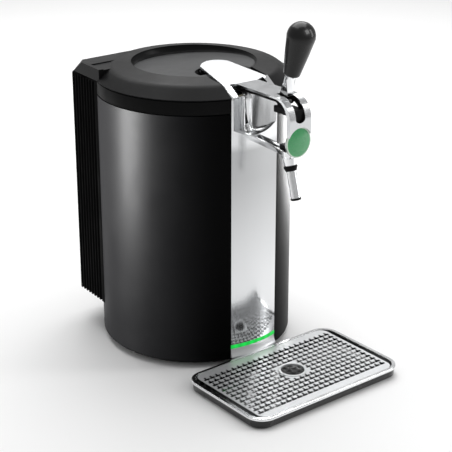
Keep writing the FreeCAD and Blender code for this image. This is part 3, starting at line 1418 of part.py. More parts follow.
def tap_badge():
    """Round domed badge, left bare."""
    r = BADGE_RADIUS
    sphere_r = (r ** 2 + (BADGE_DOME - BADGE_RIM_DEPTH) ** 2) / (2 * (BADGE_DOME - BADGE_RIM_DEPTH))
    disc = rod(r, (0, -BADGE_SEAT, BADGE_Z), (0, -BADGE_SEAT - BADGE_DOME - 1, BADGE_Z))
    ball = Part.makeSphere(sphere_r, Vec(0, -BADGE_SEAT - BADGE_DOME + sphere_r, BADGE_Z))
    return disc.common(ball)


# ---------------------------------------------------------------- lever and plunger
def along_lever(shape):
    """Places a shape made about +Z from the lever's pivot at its rest lean."""
    shape.rotate(Vec(0, 0, 0), X_AXIS, LEVER_LEAN)
    shape.translate(Vec(0, -LEVER_Y, LEVER_Z))
    return shape


def lever_stem():
    """Polished blade that turns on the lever pin and carries the grip."""
    half = LEVER_BLADE / 2
    top = GRIP_BASE + GRIP_RECESS
    blade = side_profile([
        (-LEVER_HUB_RADIUS, 0), ((0, -LEVER_HUB_RADIUS), (LEVER_HUB_RADIUS, 0)), (LEVER_HUB_RADIUS - 0.6, 12),
        (5.2, GRIP_BASE - 8), (5.2, top), (-5.2, top), (-5.2, GRIP_BASE - 8), (-LEVER_HUB_RADIUS + 0.6, 12)],
        (-half, half))
    neck = rod(half, (0, 0, GRIP_BASE - 6), (0, 0, top))
    bore = rod(LEVER_PIN_RADIUS + RUNNING_FIT, (-half - 1, 0, 0), (half + 1, 0, 0))
    shoulders = Part.makeCone(half + 0.2, GRIP_BASE_RADIUS - 1.8, 6.0, Vec(0, 0, GRIP_BASE - 6))
    return along_lever(joined([blade, neck, shoulders]).cut(bore))


def lever_grip():
    """Black grip that widens to a ball-like end."""
    r = GRIP_BALL_RADIUS
    b = GRIP_BASE_RADIUS
    touch = math.radians(8.0)
    join = (r * math.cos(touch), GRIP_BALL_AT - r * math.sin(touch))
    crown = (r * math.cos(math.radians(45)), GRIP_BALL_AT + r * math.sin(math.radians(45)))
    lower = (GRIP_BASE + GRIP_BALL_AT) / 2
    flank = ((b + 0.48 * (r - b), lower - 2), join)
    grip = turned([
        (0, GRIP_BASE), (b - 1.5, GRIP_BASE), ((b - 0.4, GRIP_BASE + 0.5), (b, GRIP_BASE + 1.8)), flank,
        (crown, (0, GRIP_BALL_AT + r))])
    return along_lever(grip).cut(lever_stem())


def arm_floor(y):
    """Height of the lower arm's channel floor."""
    return arm_rim(y) - CHANNEL_DEPTH + CHANNEL_FLOOR


def pinch_plunger():
    """Bar inside the head that presses on the beer tube in the lower arm."""
    half = PLUNGER_WIDTH / 2
    face = HEAD_FACE - HEAD_SHEET - SEAT
    back = face - PLUNGER_DEPTH
    foot = arm_rim(back) + 1.5
    nose_y = PLUNGER_NOSE_Y
    wide = PLUNGER_NOSE / 2
    narrow = PLUNGER_NOSE / 4
    tip = arm_floor(nose_y - narrow) + PINCHED_TUBE
    side = [
        (-face, PLUNGER_TOP), (-face, foot), (-nose_y - wide, foot), (-nose_y - narrow, tip),
        (-nose_y + narrow, tip), (-nose_y + wide, foot), (-nose_y + wide, foot + PLUNGER_FOOT),
        (-back, foot + PLUNGER_FOOT), (-back, PLUNGER_TOP)]
    return side_profile(side, (-half, half))


# ---------------------------------------------------------------- drip tray
def tray_outline(inset, z_range):
    """The tray's rounded outline drawn in by an inset."""
    return rounded_slab(TRAY_WIDTH / 2 - inset, (-TRAY_NEAR + inset, -TRAY_FAR - inset), z_range,
                        TRAY_CORNER - inset)


def tray_body():
    """Black undercut basin with a ledge for the grille."""
    top_wire = tray_outline(TRAY_INSET, (TRAY_RIM_BOTTOM, TRAY_RIM_BOTTOM + 1)).Faces
    low_wire = tray_outline(TRAY_INSET + TRAY_UNDERCUT, (TRAY_BOTTOM, TRAY_BOTTOM + 1)).Faces
    upper = bottom_wire(top_wire, TRAY_RIM_BOTTOM)
    lower = bottom_wire(low_wire, TRAY_BOTTOM)
    bowl = Part.makeLoft([lower, upper], True)
    basin = tray_outline(TRAY_INSET + TRAY_UNDERCUT + TRAY_WALL, (TRAY_BOTTOM + TRAY_FLOOR, TRAY_RIM_BOTTOM + 1))
    bowl = bowl.cut(basin)
    studs = []
    stud_top = GRILLE_TOP - GRILLE_PLATE - SEAT
    for x, y in grille_stud_points():
        studs.append(rod(GRILLE_STUD_RADIUS, (x, y, TRAY_BOTTOM + TRAY_FLOOR), (x, y, stud_top)))
    bowl = joined([bowl] + studs)
    for point in tray_foot_points():
        bowl = bowl.cut(Part.makeCylinder(TRAY_FOOT_RADIUS, TRAY_FOOT_RECESS, Vec(point.x, point.y, TRAY_BOTTOM)))
    return bowl


def bottom_wire(faces, z):
    """Outer wire of the horizontal face at a height."""
    for face in faces:
        if abs(face.CenterOfMass.z - z) < 1e-6:
            return face.OuterWire
    raise ValueError("no face at height %g" % z)


def grille_stud_points():
    """Where studs in the basin carry the grille."""
    x = TRAY_WIDTH / 2 - TRAY_RIM_WIDTH - GRILLE_END_GAP - 12
    near = -TRAY_NEAR + TRAY_RIM_WIDTH + 12
    far = -TRAY_FAR - TRAY_RIM_WIDTH - 12
    return [(sx * x, y) for sx in (1, -1) for y in (near, far)]


def tray_foot_points():
    """Where the tray's feet stand."""
    i = TRAY_FOOT_INSET
    x = TRAY_WIDTH / 2 - i
    return [Vec(sx * x, y, 0) for sx in (1, -1) for y in (-TRAY_NEAR + i, -TRAY_FAR - i)]


def tray_feet():
    """Four rubber pads under the tray."""
    return group([Part.makeCylinder(TRAY_FOOT_RADIUS, TRAY_BOTTOM + TRAY_FOOT_RECESS, point)
                  for point in tray_foot_points()])


def tray_rim():
    """Polished frame on the tray's edge, rounded over on top."""
    outer = tray_outline(0.0, (TRAY_RIM_BOTTOM, TRAY_RIM_TOP))
    top_edges = [e for e in outer.Edges if abs(e.CenterOfMass.z - TRAY_RIM_TOP) < 1e-6]
    outer = outer.makeFillet(1.6, top_edges)
    return outer.cut(tray_outline(TRAY_RIM_WIDTH, (TRAY_RIM_BOTTOM - 1, TRAY_RIM_TOP + 1)))


def tray_grille():
    """Perforated steel plate with a ringed drain hole."""
    half = TRAY_WIDTH / 2 - TRAY_RIM_WIDTH - GRILLE_END_GAP
    inset = TRAY_RIM_WIDTH + GRILLE_LONG_GAP
    y_range = (-TRAY_NEAR + inset, -TRAY_FAR - inset)
    low = GRILLE_TOP - GRILLE_PLATE
    plate = rounded_slab(half, y_range, (low, GRILLE_TOP), TRAY_CORNER / 2)
    drain = rod(DRAIN_RADIUS, (0, -DRAIN_Y, 0), (0, -DRAIN_Y, BIG))
    lip = tube(DRAIN_RADIUS + DRAIN_LIP, DRAIN_RADIUS, (0, -DRAIN_Y, low), (0, -DRAIN_Y, GRILLE_TOP + 0.8))
    middle = -(TRAY_NEAR + TRAY_FAR) / 2
    holes = []
    blank = DRAIN_RADIUS + DRAIN_LIP + 1.0
    for row in range(HOLE_ROWS):
        y = middle + (row - (HOLE_ROWS - 1) / 2) * HOLE_PITCH
        for column in range(HOLE_COLUMNS):
            x = (column - (HOLE_COLUMNS - 1) / 2) * HOLE_PITCH
            if abs(x) < blank and abs(y + DRAIN_Y) < blank:
                continue
            holes.append(box((x - HOLE_LENGTH / 2, x + HOLE_LENGTH / 2),
                             (y - HOLE_HEIGHT / 2, y + HOLE_HEIGHT / 2), (low - 1, GRILLE_TOP + 1)))
    return plate.cut(group(holes)).cut(drain).fuse(lip).removeSplitter()


# ---------------------------------------------------------------- output
NODES = [
    outer_shell, collar_ring, insulation_foam, keg_well, base_pan, rubber_feet, base_screws,
    front_panel, panel_foot, light_strip, light_board, tube_channel, spout_cone, spout_collar,
    spout_nozzle, nozzle_tip, rear_housing, housing_screws, cold_block, peltier_module, heat_sink,
    fan_frame, fan_rotor, rear_grille, power_supply, control_board, power_inlet, switch_frame,
    rocker_button, lid_shell, lid_disc, lid_liner, lid_core, lid_seal, lid_trim, lid_hinge_pins,
    tap_cover, cover_liner, cover_hinge_pin, lever_pin, badge_ring, tap_badge, lever_stem,
    lever_grip, pinch_plunger, tray_body, tray_feet, tray_rim, tray_grille]


def main():
    os.makedirs("parts", exist_ok=True)
    for make in NODES:
        shape = make()
        if not shape.isValid():
            raise ValueError(make.__name__ + " is not a valid shape")
        shape.translate(Vec(0, AXIS_BEHIND, 0))
        shape.exportStep("parts/%s.step" % make.__name__)
        print("%-18s %d solid(s) %12.1f mm3" % (make.__name__, len(shape.Solids), shape.Volume))


main()
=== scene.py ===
"""Finishes, fine pieces and studio for a mini keg beer dispenser."""

import json
import math

import bmesh
import bpy
from bpy.props import FloatProperty, FloatVectorProperty, IntProperty, PointerProperty
from mathutils import Matrix, Vector


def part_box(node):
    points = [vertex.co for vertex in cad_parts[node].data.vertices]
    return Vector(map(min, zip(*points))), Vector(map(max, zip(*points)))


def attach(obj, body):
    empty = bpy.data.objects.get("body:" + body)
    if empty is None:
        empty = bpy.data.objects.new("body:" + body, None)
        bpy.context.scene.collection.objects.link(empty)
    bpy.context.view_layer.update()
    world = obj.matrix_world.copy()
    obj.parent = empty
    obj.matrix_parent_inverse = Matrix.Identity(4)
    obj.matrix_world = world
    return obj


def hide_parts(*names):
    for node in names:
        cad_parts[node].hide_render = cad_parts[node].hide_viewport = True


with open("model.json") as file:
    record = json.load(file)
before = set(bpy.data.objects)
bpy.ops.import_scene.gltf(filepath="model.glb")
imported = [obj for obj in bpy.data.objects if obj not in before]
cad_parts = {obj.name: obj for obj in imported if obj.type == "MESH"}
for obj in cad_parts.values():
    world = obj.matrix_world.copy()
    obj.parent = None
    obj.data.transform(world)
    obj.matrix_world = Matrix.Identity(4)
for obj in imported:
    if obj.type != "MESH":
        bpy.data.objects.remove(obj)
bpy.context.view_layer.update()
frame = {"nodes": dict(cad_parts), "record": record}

bl_info = {
    "name": "Keg beer dispenser",
    "version": (1, 0, 0),
    "blender": (4, 5, 0),
    "location": "View3D > Sidebar > Dispenser",
    "description": "Finishes, fine pieces and studio for a mini keg beer dispenser",
    "category": "Object",
}

# Lengths are in metres.
MM = 0.001
MICRON = 0.001 * MM

# Points of a solid's mesh closer than this are one, and a radius below this lies on the axis.
WELD = 2 * MICRON
ON_AXIS = 0.1 * MICRON

# Colours of small and hidden pieces.
FOAM = (0.78, 0.72, 0.55)
CERAMIC = (0.82, 0.82, 0.80)
LINER_WHITE = (0.72, 0.72, 0.71)
BOARD_GREEN = (0.01, 0.10, 0.04)
TRACK_GREEN = (0.06, 0.28, 0.10)
RUBBER_BLACK = (0.02, 0.02, 0.02)
SEAL_BLACK = (0.03, 0.03, 0.03)
SCREW_ZINC = (0.55, 0.56, 0.58)
CASE_ZINC = (0.60, 0.61, 0.62)
WELL_ALUMINIUM = (0.72, 0.73, 0.75)
MILLED_ALUMINIUM = (0.70, 0.71, 0.73)
FAN_BLACK = (0.012, 0.012, 0.013)
INLET_BLACK = (0.012, 0.012, 0.012)
ROCKER_RED = (0.40, 0.012, 0.010)
SPOUT_BLACK = (0.004, 0.004, 0.004)
FRAME_BLACK = (0.003, 0.003, 0.0031)
# Painted shade: the black painted on the lever's hub inside the tap's slot.
HUB_SHADE_BLACK = (0.003, 0.003, 0.003)
PLUNGER_BLACK = (0.006, 0.006, 0.0065)
RIM_PALE = (0.62, 0.74, 0.63)

# Lever's slot: its end behind the pivot, its extra half width in the liner, and the slack with
# which points on its sides are found.
SLOT_BACK = 12 * MM
LINER_REACH = 2 * MM
SLOT_SLACK = 0.1 * MM

# Black backing behind the slot: a thin upright wall and, on top of it, a deep shelf that clears
# the plunger. HALF is half its width, FRONT its front face along Y, FOOT, STEP and TOP are heights,
# LAP is how far the wall stands in the shelf, and WALL and SHELF are their depths.
BACKING_HALF = 9.5 * MM
BACKING_FRONT = -139.6 * MM
BACKING_FOOT = 350.6 * MM
BACKING_STEP = 359.4 * MM
BACKING_TOP = 367.6 * MM
BACKING_LAP = 0.6 * MM
BACKING_WALL = 1.4 * MM
BACKING_SHELF = 36 * MM
BACKING_EDGE = 0.4 * MM

# Lever's stem: distances from the pivot between which the painted shade on the hub inside the slot gives
# way to bright metal.
HUB_SHADE_END = (8.5 * MM, 9.0 * MM)

# Grip: (inset, height) of its foot's rounded edge, (height, share of the swell) up its flank,
# and the angle below the ball's middle where the flank meets the ball.
GRIP_EDGE = ((1.5 * MM, 0.0), (0.4 * MM, 0.5 * MM))
GRIP_FLANK = ((1.8 * MM, 0.0), (14 * MM, 0.26), (30 * MM, 0.60))
GRIP_MEETING = math.radians(8.0)
FLANK_STEPS = 8
BALL_STEPS = 16

# Badge: rings of its dome.
DOME_STEPS = 24

# Grille: the open cells of a hole's grid, which are the long bar and the stem behind it, and the
# radius of the sheet's corners.
HOLE_CELLS = {(1, 1), (2, 1), (3, 1), (2, 2)}
GRILLE_CORNER = 12 * MM

# Drain ring: its rise over the sheet, the (inset, drop) of its edges, the share of its width that
# the sheet runs under it, and the blank steel outside it.
RING_RISE = 0.8 * MM
RING_EDGE = (0.5 * MM, 0.4 * MM)
RING_LAP = 0.3
DRAIN_MARGIN = 1 * MM

# Two lines closer than this are one: as a length, and as a share of the holes' pitch.
TOUCH = 0.01 * MM
ON_LINE = 0.001

# Studio, in metres: half the floor's side, the point that the barrel's two upright lights face,
# and their size. The camera's sensor is in millimetres.
FLOOR_HALF = 12.0
BARREL_MIDDLE = (0.0, 0.07, 0.15)
UPRIGHT = (0.30, 0.52)
SENSOR = 36.0


# ---------------------------------------------------------------- settings
def colour(name, description, default):
    """A colour that the user can change."""
    return FloatVectorProperty(name=name, description=description, default=default, subtype="COLOR",
                               size=3, min=0.0, max=1.0)


def length(name, description, default):
    """A length in metres that the user can change."""
    return FloatProperty(name=name, description=description, default=default, unit="LENGTH",
                         min=0.0, precision=5)


def factor(name, description, default, top):
    """A plain number that the user can change."""
    return FloatProperty(name=name, description=description, default=default, min=0.0, max=top)


def angle(name, description, degrees):
    """An angle that the user can change, given in degrees."""
    return FloatProperty(name=name, description=description, default=math.radians(degrees),
                         subtype="ANGLE")


def power(name, description, default):
    """A lamp's power in watts."""
    return FloatProperty(name=name, description=description, default=default, unit="POWER")


class DispenserColours(bpy.types.PropertyGroup):
    """Base colours of the dispenser's visible finishes."""
    barrel: colour("Barrel", "Satin moulded barrel", (0.0011, 0.0011, 0.0012))
    trim: colour("Black trim", "Moulded collar and foot dish", (0.0022, 0.0022, 0.0023))
    housing: colour("Housing", "Moulded rear housing", (0.0030, 0.0030, 0.0031))
    lid: colour("Lid", "Moulded lid", (0.0085, 0.0085, 0.0088))
    disc: colour("Lid disc", "Disc laid in the lid", (0.066, 0.067, 0.068))
    panel: colour("Panel", "Polished front panel near its foot", (0.80, 0.81, 0.82))
    foot: colour("Panel foot", "Steel foot under the light", (0.62, 0.63, 0.64))
    plated: colour("Plating", "Plated channel, spout, lever and trim", (0.88, 0.89, 0.90))
    nozzle: colour("Nozzle", "Steel tube of the spout", (0.80, 0.81, 0.82))
    cover: colour("Tap cover", "Satin plate, arm and head of the tap", (0.60, 0.61, 0.62))
    pins: colour("Tap pins", "Pins of the tap's cover and lever", (0.60, 0.61, 0.62))
    grip: colour("Grip", "Moulded grip of the lever", (0.002, 0.002, 0.0021))
    badge: colour("Badge", "Enamel of the tap badge", (0.002, 0.23, 0.055))
    light: colour("Light", "Light guide under the panel", (0.012, 0.62, 0.075))
    tray: colour("Tray", "Moulded drip tray", (0.004, 0.004, 0.0042))
    rim: colour("Tray rim", "Plated rim of the tray", (0.86, 0.87, 0.88))
    grille: colour("Grille", "Steel sheet of the tray's grille", (0.60, 0.61, 0.62))
    floor: colour("Floor", "Studio floor", (0.86, 0.86, 0.86))


class DispenserShapes(bpy.types.PropertyGroup):
    """Sizes of the finely modelled pieces."""
    pivot: FloatVectorProperty(name="Lever pivot", description="Middle of the lever's pin", size=3,
                               default=(0.0, -0.11357, 0.3755), subtype="TRANSLATION", precision=5)
    lean: angle("Lever lean", "Lean of the resting lever towards the front", 18.0)
    grip_start: length("Grip start", "Distance of the grip's foot from the pivot", 36.0 * MM)
    grip_foot: length("Grip foot radius", "Radius of the grip's foot", 10.8 * MM)
    grip_ball: length("Grip end radius", "Radius of the grip's ball-like end", 17.6 * MM)
    grip_ball_at: length("Grip end distance", "Distance of the ball's middle from the pivot", 88.0 * MM)
    slot_half: length("Slot half width", "Half width of the lever's slot in the solid cover", 5.3 * MM)
    slot_widening: factor("Slot widening", "Widening of that slot", 1.42, 2.0)
    slot_foot: length("Slot foot", "Height above which the slot is widened", 351.0 * MM)
    badge_radius: length("Badge radius", "Radius of the domed badge", 17.9 * MM)
    badge_depth: length("Badge rim depth", "Depth of the rim round the badge", 1.6 * MM)
    badge_dome: length("Badge dome", "Height of the badge's middle over its seat", 3.2 * MM)
    hole_pitch: length("Hole pitch", "Spacing of the grille's holes", 9.05 * MM)
    hole_rows: IntProperty(name="Hole rows", description="Rows of holes in the grille", default=13, min=1)
    hole_columns: IntProperty(name="Hole columns", description="Holes in a row", default=24, min=1)
    hole_tie: length("Hole tie", "Steel left between two holes of a row", 0.7 * MM)
    hole_bar: length("Hole bar", "Depth of the long part of a hole", 4.3 * MM)
    hole_tongue: length("Tongue width", "Width of the tongue between two stems", 6.2 * MM)
    hole_rib: length("Hole rib", "Steel left between two rows", 0.8 * MM)
    plate: length("Grille sheet", "Thickness of the grille's sheet", 0.5 * MM)
    drain_radius: length("Drain radius", "Radius of the hole under the spout", 15.5 * MM)
    drain_ring: length("Drain ring", "Width of the ring round that hole", 3.6 * MM)
    drain_shift: length("Drain shift", "Distance of that hole from the grille's middle", 4.0 * MM)
    tray_flare: length("Tray flare", "Widening of the tray's wall at its foot", 3.2 * MM)
    steps: IntProperty(name="Round steps", description="Steps round a turned piece", default=96, min=24)


class DispenserStudio(bpy.types.PropertyGroup):
    """Camera and light."""
    eye: FloatVectorProperty(name="Camera", description="Place of the camera", size=3, unit="LENGTH",
                             default=(-1.0387, -1.30117, 0.83765))
    tilt: angle("Camera tilt", "Turn of the camera about X", 68.26)
    turn: angle("Camera turn", "Turn of the camera about Z", -38.56)
    lens: FloatProperty(name="Lens", description="Focal length in millimetres", default=106.8)
    sky: factor("Sky", "Strength of the even light from all round", 0.47, 10.0)
    top: power("Top light", "Power of the large light overhead", 62.0)
    back: power("Back light", "Power of the wide light behind", 5.5)
    right: power("Right light", "Power of the narrow light on the right", 10.0)
    left: power("Left light", "Power of the upright light for the barrel's left", 70.0)
    edge: power("Edge light", "Power of the light for the barrel's right edge", 45.0)
    glint: power("Grip light", "Power of the light for the grip", 14.0)


# ---------------------------------------------------------------- finishes
class Finish:
    """A shader with one base colour and the fine detail laid over it."""

    def __init__(self, name, base, roughness, metallic=0.0, specular=0.5, ior=1.5, coat=0.0,
                 coat_roughness=0.1):
        self.material = bpy.data.materials.new(name)
        self.material.use_nodes = True
        self.nodes = self.material.node_tree.nodes
        self.links = self.material.node_tree.links
        self.shader = self.nodes["Principled BSDF"]
        self.put("Base Color", (*base, 1.0))
        self.put("Roughness", roughness)
        self.put("Metallic", metallic)
        self.put("Specular IOR Level", specular)
        self.put("IOR", ior)
        self.put("Coat Weight", coat)
        self.put("Coat Roughness", coat_roughness)
        self.where = self.nodes.new("ShaderNodeTexCoord").outputs["Object"]
        self.normal = None

    def feed(self, socket, value):
        """Links an input to another node's output, or sets it to a constant."""
        if isinstance(value, bpy.types.NodeSocket):
            self.links.new(value, socket)
        else:
            socket.default_value = value

    def put(self, name, value):
        """Feeds one of the shader's inputs."""
        self.feed(self.shader.inputs[name], value)

    def node(self, kind, **values):
        """A node with its inputs fed and its settings made."""
        made = self.nodes.new(kind)
        for key, value in values.items():
            name = key.replace("_", " ")
            if name in made.inputs:
                self.feed(made.inputs[name], value)
            else:
                setattr(made, key, value)
        return made

    def maths(self, kind, operation, first, second):
        """A node that works out one value from two; both inputs may have the same name."""
        made = self.node(kind, operation=operation)
        self.feed(made.inputs[0], first)
        self.feed(made.inputs[1], second)
        return made

    def spread(self, stretch=(1.0, 1.0, 1.0)):
        """Coordinates stretched along the axes."""
        return self.node("ShaderNodeMapping", Vector=self.where, Scale=stretch).outputs[0]

    def noise(self, scale, detail=3.0, stretch=(1.0, 1.0, 1.0)):
        """Soft noise over the piece."""
        return self.node("ShaderNodeTexNoise", Vector=self.spread(stretch), Scale=scale, Detail=detail,
                         Roughness=0.55).outputs["Fac"]

    def ramp(self, fac, low, high, start=0.35, end=0.65):
        """A value between low and high as fac goes from start to end."""
        return self.node("ShaderNodeMapRange", Value=fac, From_Min=start, From_Max=end, To_Min=low,
                         To_Max=high).outputs[0]

    def tint(self, fac, first, second):
        """Base colour between two tones."""
        mix = self.node("ShaderNodeMix", data_type="RGBA")
        # The colour sockets share their names with the number and vector ones, so they go by place.
        self.feed(mix.inputs[0], fac)
        self.feed(mix.inputs[6], (*first, 1.0))
        self.feed(mix.inputs[7], (*second, 1.0))
        self.put("Base Color", mix.outputs[2])

    def gloss(self, fac, low, high):
        """Roughness that wanders between two values."""
        self.put("Roughness", self.ramp(fac, low, high))

    def bump(self, fac, distance, strength):
        """Fine relief on top of what is there."""
        made = self.node("ShaderNodeBump", Height=fac, Distance=distance, Strength=strength)
        if self.normal is not None:
            self.feed(made.inputs["Normal"], self.normal)
        self.normal = made.outputs[0]
        self.put("Normal", self.normal)

    def soften(self, radius):
        """Rounds the look of sharp edges."""
        self.normal = self.node("ShaderNodeBevel", samples=4, Radius=radius).outputs[0]
        self.put("Normal", self.normal)


def scaled(base, share):
    """A tone of a base colour."""
    return tuple(channel * share for channel in base)


def shades(base, share):
    """Two tones a share below and above a base colour."""
    return scaled(base, 1 - share), scaled(base, 1 + share)


def satin_paint(name, base):
    """Satin moulding with a faint orange peel."""
    f = Finish(name, base, roughness=0.42, ior=1.10)
    f.soften(0.4 * MM)
    f.tint(f.noise(9.0), *shades(base, 0.12))
    f.gloss(f.noise(14.0, detail=4.0), low=0.38, high=0.47)
    f.bump(f.noise(650.0, detail=2.0), distance=0.03 * MM, strength=0.5)
    return f.material


def moulded(name, base, roughness=0.48, grain=0.05 * MM, specular=0.08, ior=1.5):
    """Moulded plastic with a fine eroded grain."""
    f = Finish(name, base, roughness, specular=specular, ior=ior)
    f.soften(0.5 * MM)
    f.tint(f.noise(22.0), *shades(base, 0.10))
    f.gloss(f.noise(30.0, detail=4.0), low=roughness - 0.05, high=roughness + 0.06)
    f.bump(f.noise(2600.0, detail=2.0), distance=grain, strength=0.7)
    return f.material


def gloss_moulding(name, base, roughness, coat=0.6):
    """Polished moulding with hairline handling marks."""
    f = Finish(name, base, roughness, specular=0.25, coat=coat, coat_roughness=0.06)
    f.soften(0.5 * MM)
    f.tint(f.noise(12.0), *shades(base, 0.15))
    f.gloss(f.noise(60.0, detail=5.0), low=roughness - 0.04, high=roughness + 0.07)
    f.bump(f.noise(220.0, detail=2.0, stretch=(1.0, 1.0, 0.25)), distance=0.01 * MM, strength=0.5)
    return f.material


def polished_metal(name, base, roughness=0.07, wave=0.03 * MM):
    """Bright plated metal with a faint polishing haze."""
    f = Finish(name, base, roughness, metallic=1.0)
    f.soften(0.4 * MM)
    f.tint(f.noise(18.0), *shades(base, 0.03))
    haze = f.noise(75.0, detail=5.0, stretch=(1.0, 1.0, 0.4))
    f.gloss(haze, low=roughness - 0.025, high=roughness + 0.035)
    f.bump(f.noise(35.0, detail=1.0), distance=wave, strength=0.4)
    return f.material


def graded_metal(name, base):
    """Bright metal, polished near the floor and more satin above, with painted shade that darkens its
    colour partway up and leaves it bright near the floor and in the scoop.
    """
    f = Finish(name, base, roughness=0.1, metallic=1.0)
    height = f.node("ShaderNodeSeparateXYZ", Vector=f.where).outputs["Z"]
    # Painted shade: the colour darkens from 80 mm up, standing in for a dimmer reflection, and returns to
    # the bright base colour in the scoop.
    painted_shade = f.maths("ShaderNodeMath", "MULTIPLY", f.ramp(height, 0.0, 1.0, start=80 * MM, end=260 * MM),
                   f.ramp(height, 1.0, 0.0, start=298 * MM, end=310 * MM))
    f.tint(painted_shade.outputs[0], base, scaled(base, 0.58))
    f.put("Roughness", f.ramp(height, 0.10, 0.24, start=50 * MM, end=300 * MM))
    f.bump(f.noise(35.0, detail=1.0), distance=0.005 * MM, strength=0.3)
    return f.material


def pressed_steel(name, base):
    """Satin steel sheet with a pale, slightly chalky sheen."""
    f = Finish(name, base, roughness=0.36, metallic=0.55)
    f.tint(f.noise(200.0), *shades(base, 0.05))
    f.gloss(f.noise(400.0), low=0.30, high=0.44)
    f.bump(f.noise(900.0, detail=2.0), distance=0.01 * MM, strength=0.4)
    return f.material


def lever_metal(name, base, pivot, lean):
    """Bright plated stem whose hub below the slot's edge is painted black and not metallic, as painted
    shade from the slot.
    """
    f = Finish(name, base, roughness=0.08, metallic=1.0)
    f.soften(0.4 * MM)
    arm = f.maths("ShaderNodeVectorMath", "SUBTRACT", f.where, pivot)
    along = f.maths("ShaderNodeVectorMath", "DOT_PRODUCT", arm.outputs["Vector"],
                    (0.0, -math.sin(lean), math.cos(lean)))
    # Painted shade: below the slot's edge the stem is painted black and not metallic.
    plated = f.ramp(along.outputs["Value"], 0.0, 1.0, *HUB_SHADE_END)
    f.tint(plated, HUB_SHADE_BLACK, base)
    f.put("Metallic", plated)
    f.gloss(f.noise(75.0, detail=5.0), low=0.07, high=0.12)
    f.bump(f.noise(35.0, detail=1.0), distance=0.02 * MM, strength=0.4)
    return f.material


def brushed_metal(name, base, roughness, along, depth=0.02 * MM):
    """Metal with brushed lines."""
    f = Finish(name, base, roughness, metallic=1.0)
    f.soften(0.3 * MM)
    lines = f.noise(900.0, stretch=along)
    f.tint(lines, *shades(base, 0.07))
    f.gloss(lines, low=roughness - 0.07, high=roughness + 0.10)
    f.bump(lines, distance=depth, strength=0.5)
    return f.material


def zinc(name, base):
    """Zinc-plated steel with spangle."""
    f = Finish(name, base, roughness=0.32, metallic=1.0)
    f.soften(0.3 * MM)
    spangle = f.node("ShaderNodeTexVoronoi", Vector=f.where, Scale=420.0).outputs["Color"]
    f.tint(spangle, *shades(base, 0.10))
    f.gloss(f.noise(300.0), low=0.26, high=0.40)
    f.bump(f.noise(1500.0), distance=0.02 * MM, strength=0.5)
    return f.material


def drawn_aluminium(name, base):
    """Drawn aluminium with faint rings from the press."""
    f = Finish(name, base, roughness=0.34, metallic=1.0)
    f.soften(0.3 * MM)
    rings = f.noise(700.0, stretch=(0.04, 0.04, 1.0))
    f.tint(rings, *shades(base, 0.06))
    f.gloss(rings, low=0.27, high=0.42)
    f.bump(rings, distance=0.02 * MM, strength=0.5)
    return f.material


def cut_foam(name, base):
    """Insulating foam with open cells."""
    f = Finish(name, base, roughness=0.9, specular=0.15)
    cells = f.node("ShaderNodeTexVoronoi", Vector=f.where, Scale=900.0).outputs["Distance"]
    f.tint(f.noise(40.0), *shades(base, 0.10))
    f.bump(cells, distance=0.3 * MM, strength=0.6)
    return f.material


def rubber(name, base):
    """Matt rubber with a dusty bloom."""
    f = Finish(name, base, roughness=0.75, specular=0.25)
    f.soften(0.4 * MM)
    f.tint(f.noise(80.0, detail=4.0), base, scaled(base, 1.8))
    f.bump(f.noise(1800.0), distance=0.05 * MM, strength=0.6)
    return f.material


def printed_board(name, base):
    """Green board with copper tracks under the mask."""
    f = Finish(name, base, roughness=0.35, coat=0.4)
    tracks = f.node("ShaderNodeTexBrick", Vector=f.where, Scale=160.0, Mortar_Size=0.06).outputs["Fac"]
    f.tint(tracks, base, TRACK_GREEN)
    f.bump(tracks, distance=0.03 * MM, strength=0.5)
    return f.material


def enamel(name, base):
    """Deep green enamel under a clear dome."""
    f = Finish(name, base, roughness=0.28, coat=1.0, coat_roughness=0.05)
    f.tint(f.noise(30.0, detail=2.0), base, tuple(min(1.0, channel * 1.5 + 0.01) for channel in base))
    f.gloss(f.noise(120.0), low=0.24, high=0.34)
    f.bump(f.noise(90.0, detail=2.0), distance=0.02 * MM, strength=0.4)
    return f.material


def light_guide(name, base):
    """Frosted light guide with softly spread diodes behind it."""
    f = Finish(name, scaled(base, 0.25), roughness=0.35, specular=0.2)
    spots = f.node("ShaderNodeTexWave", Vector=f.spread((1.0, 0.0, 0.0)), Scale=25.0).outputs["Fac"]
    f.put("Emission Color", (*base, 1.0))
    f.put("Emission Strength", f.ramp(spots, 0.75, 1.05, start=0.0, end=1.0))
    f.bump(f.noise(900.0), distance=0.02 * MM, strength=0.5)
    return f.material


def studio_floor(name, base):
    """Pale matt floor with a trace of tone."""
    f = Finish(name, base, roughness=0.75, specular=0.12)
    f.tint(f.noise(2.5, detail=2.0), *shades(base, 0.008))
    f.bump(f.noise(60.0), distance=0.05 * MM, strength=0.3)
    return f.material


# ---------------------------------------------------------------- mesh helpers
def settings():
    """The sizes of the fine pieces."""
    return bpy.context.scene.dispenser_shapes


def colours():
    """The base colours."""
    return bpy.context.scene.dispenser_colours


def smooth(mesh, crease=32.0):
    """Smooth shading with creases where faces meet more sharply than an angle in degrees."""
    for face in mesh.polygons:
        face.use_smooth = True
    mesh.set_sharp_from_angle(angle=math.radians(crease))


def to_mesh(bm, name):
    """A finished mesh from a working one."""
    mesh = bpy.data.meshes.new(name)
    bm.to_mesh(mesh)
    bm.free()
    return mesh


def circle(middle, radius, z, steps):
    """Points round a level circle."""
    turn = 2 * math.pi / steps
    return [(middle.x + radius * math.cos(k * turn), middle.y + radius * math.sin(k * turn), z)
            for k in range(steps)]


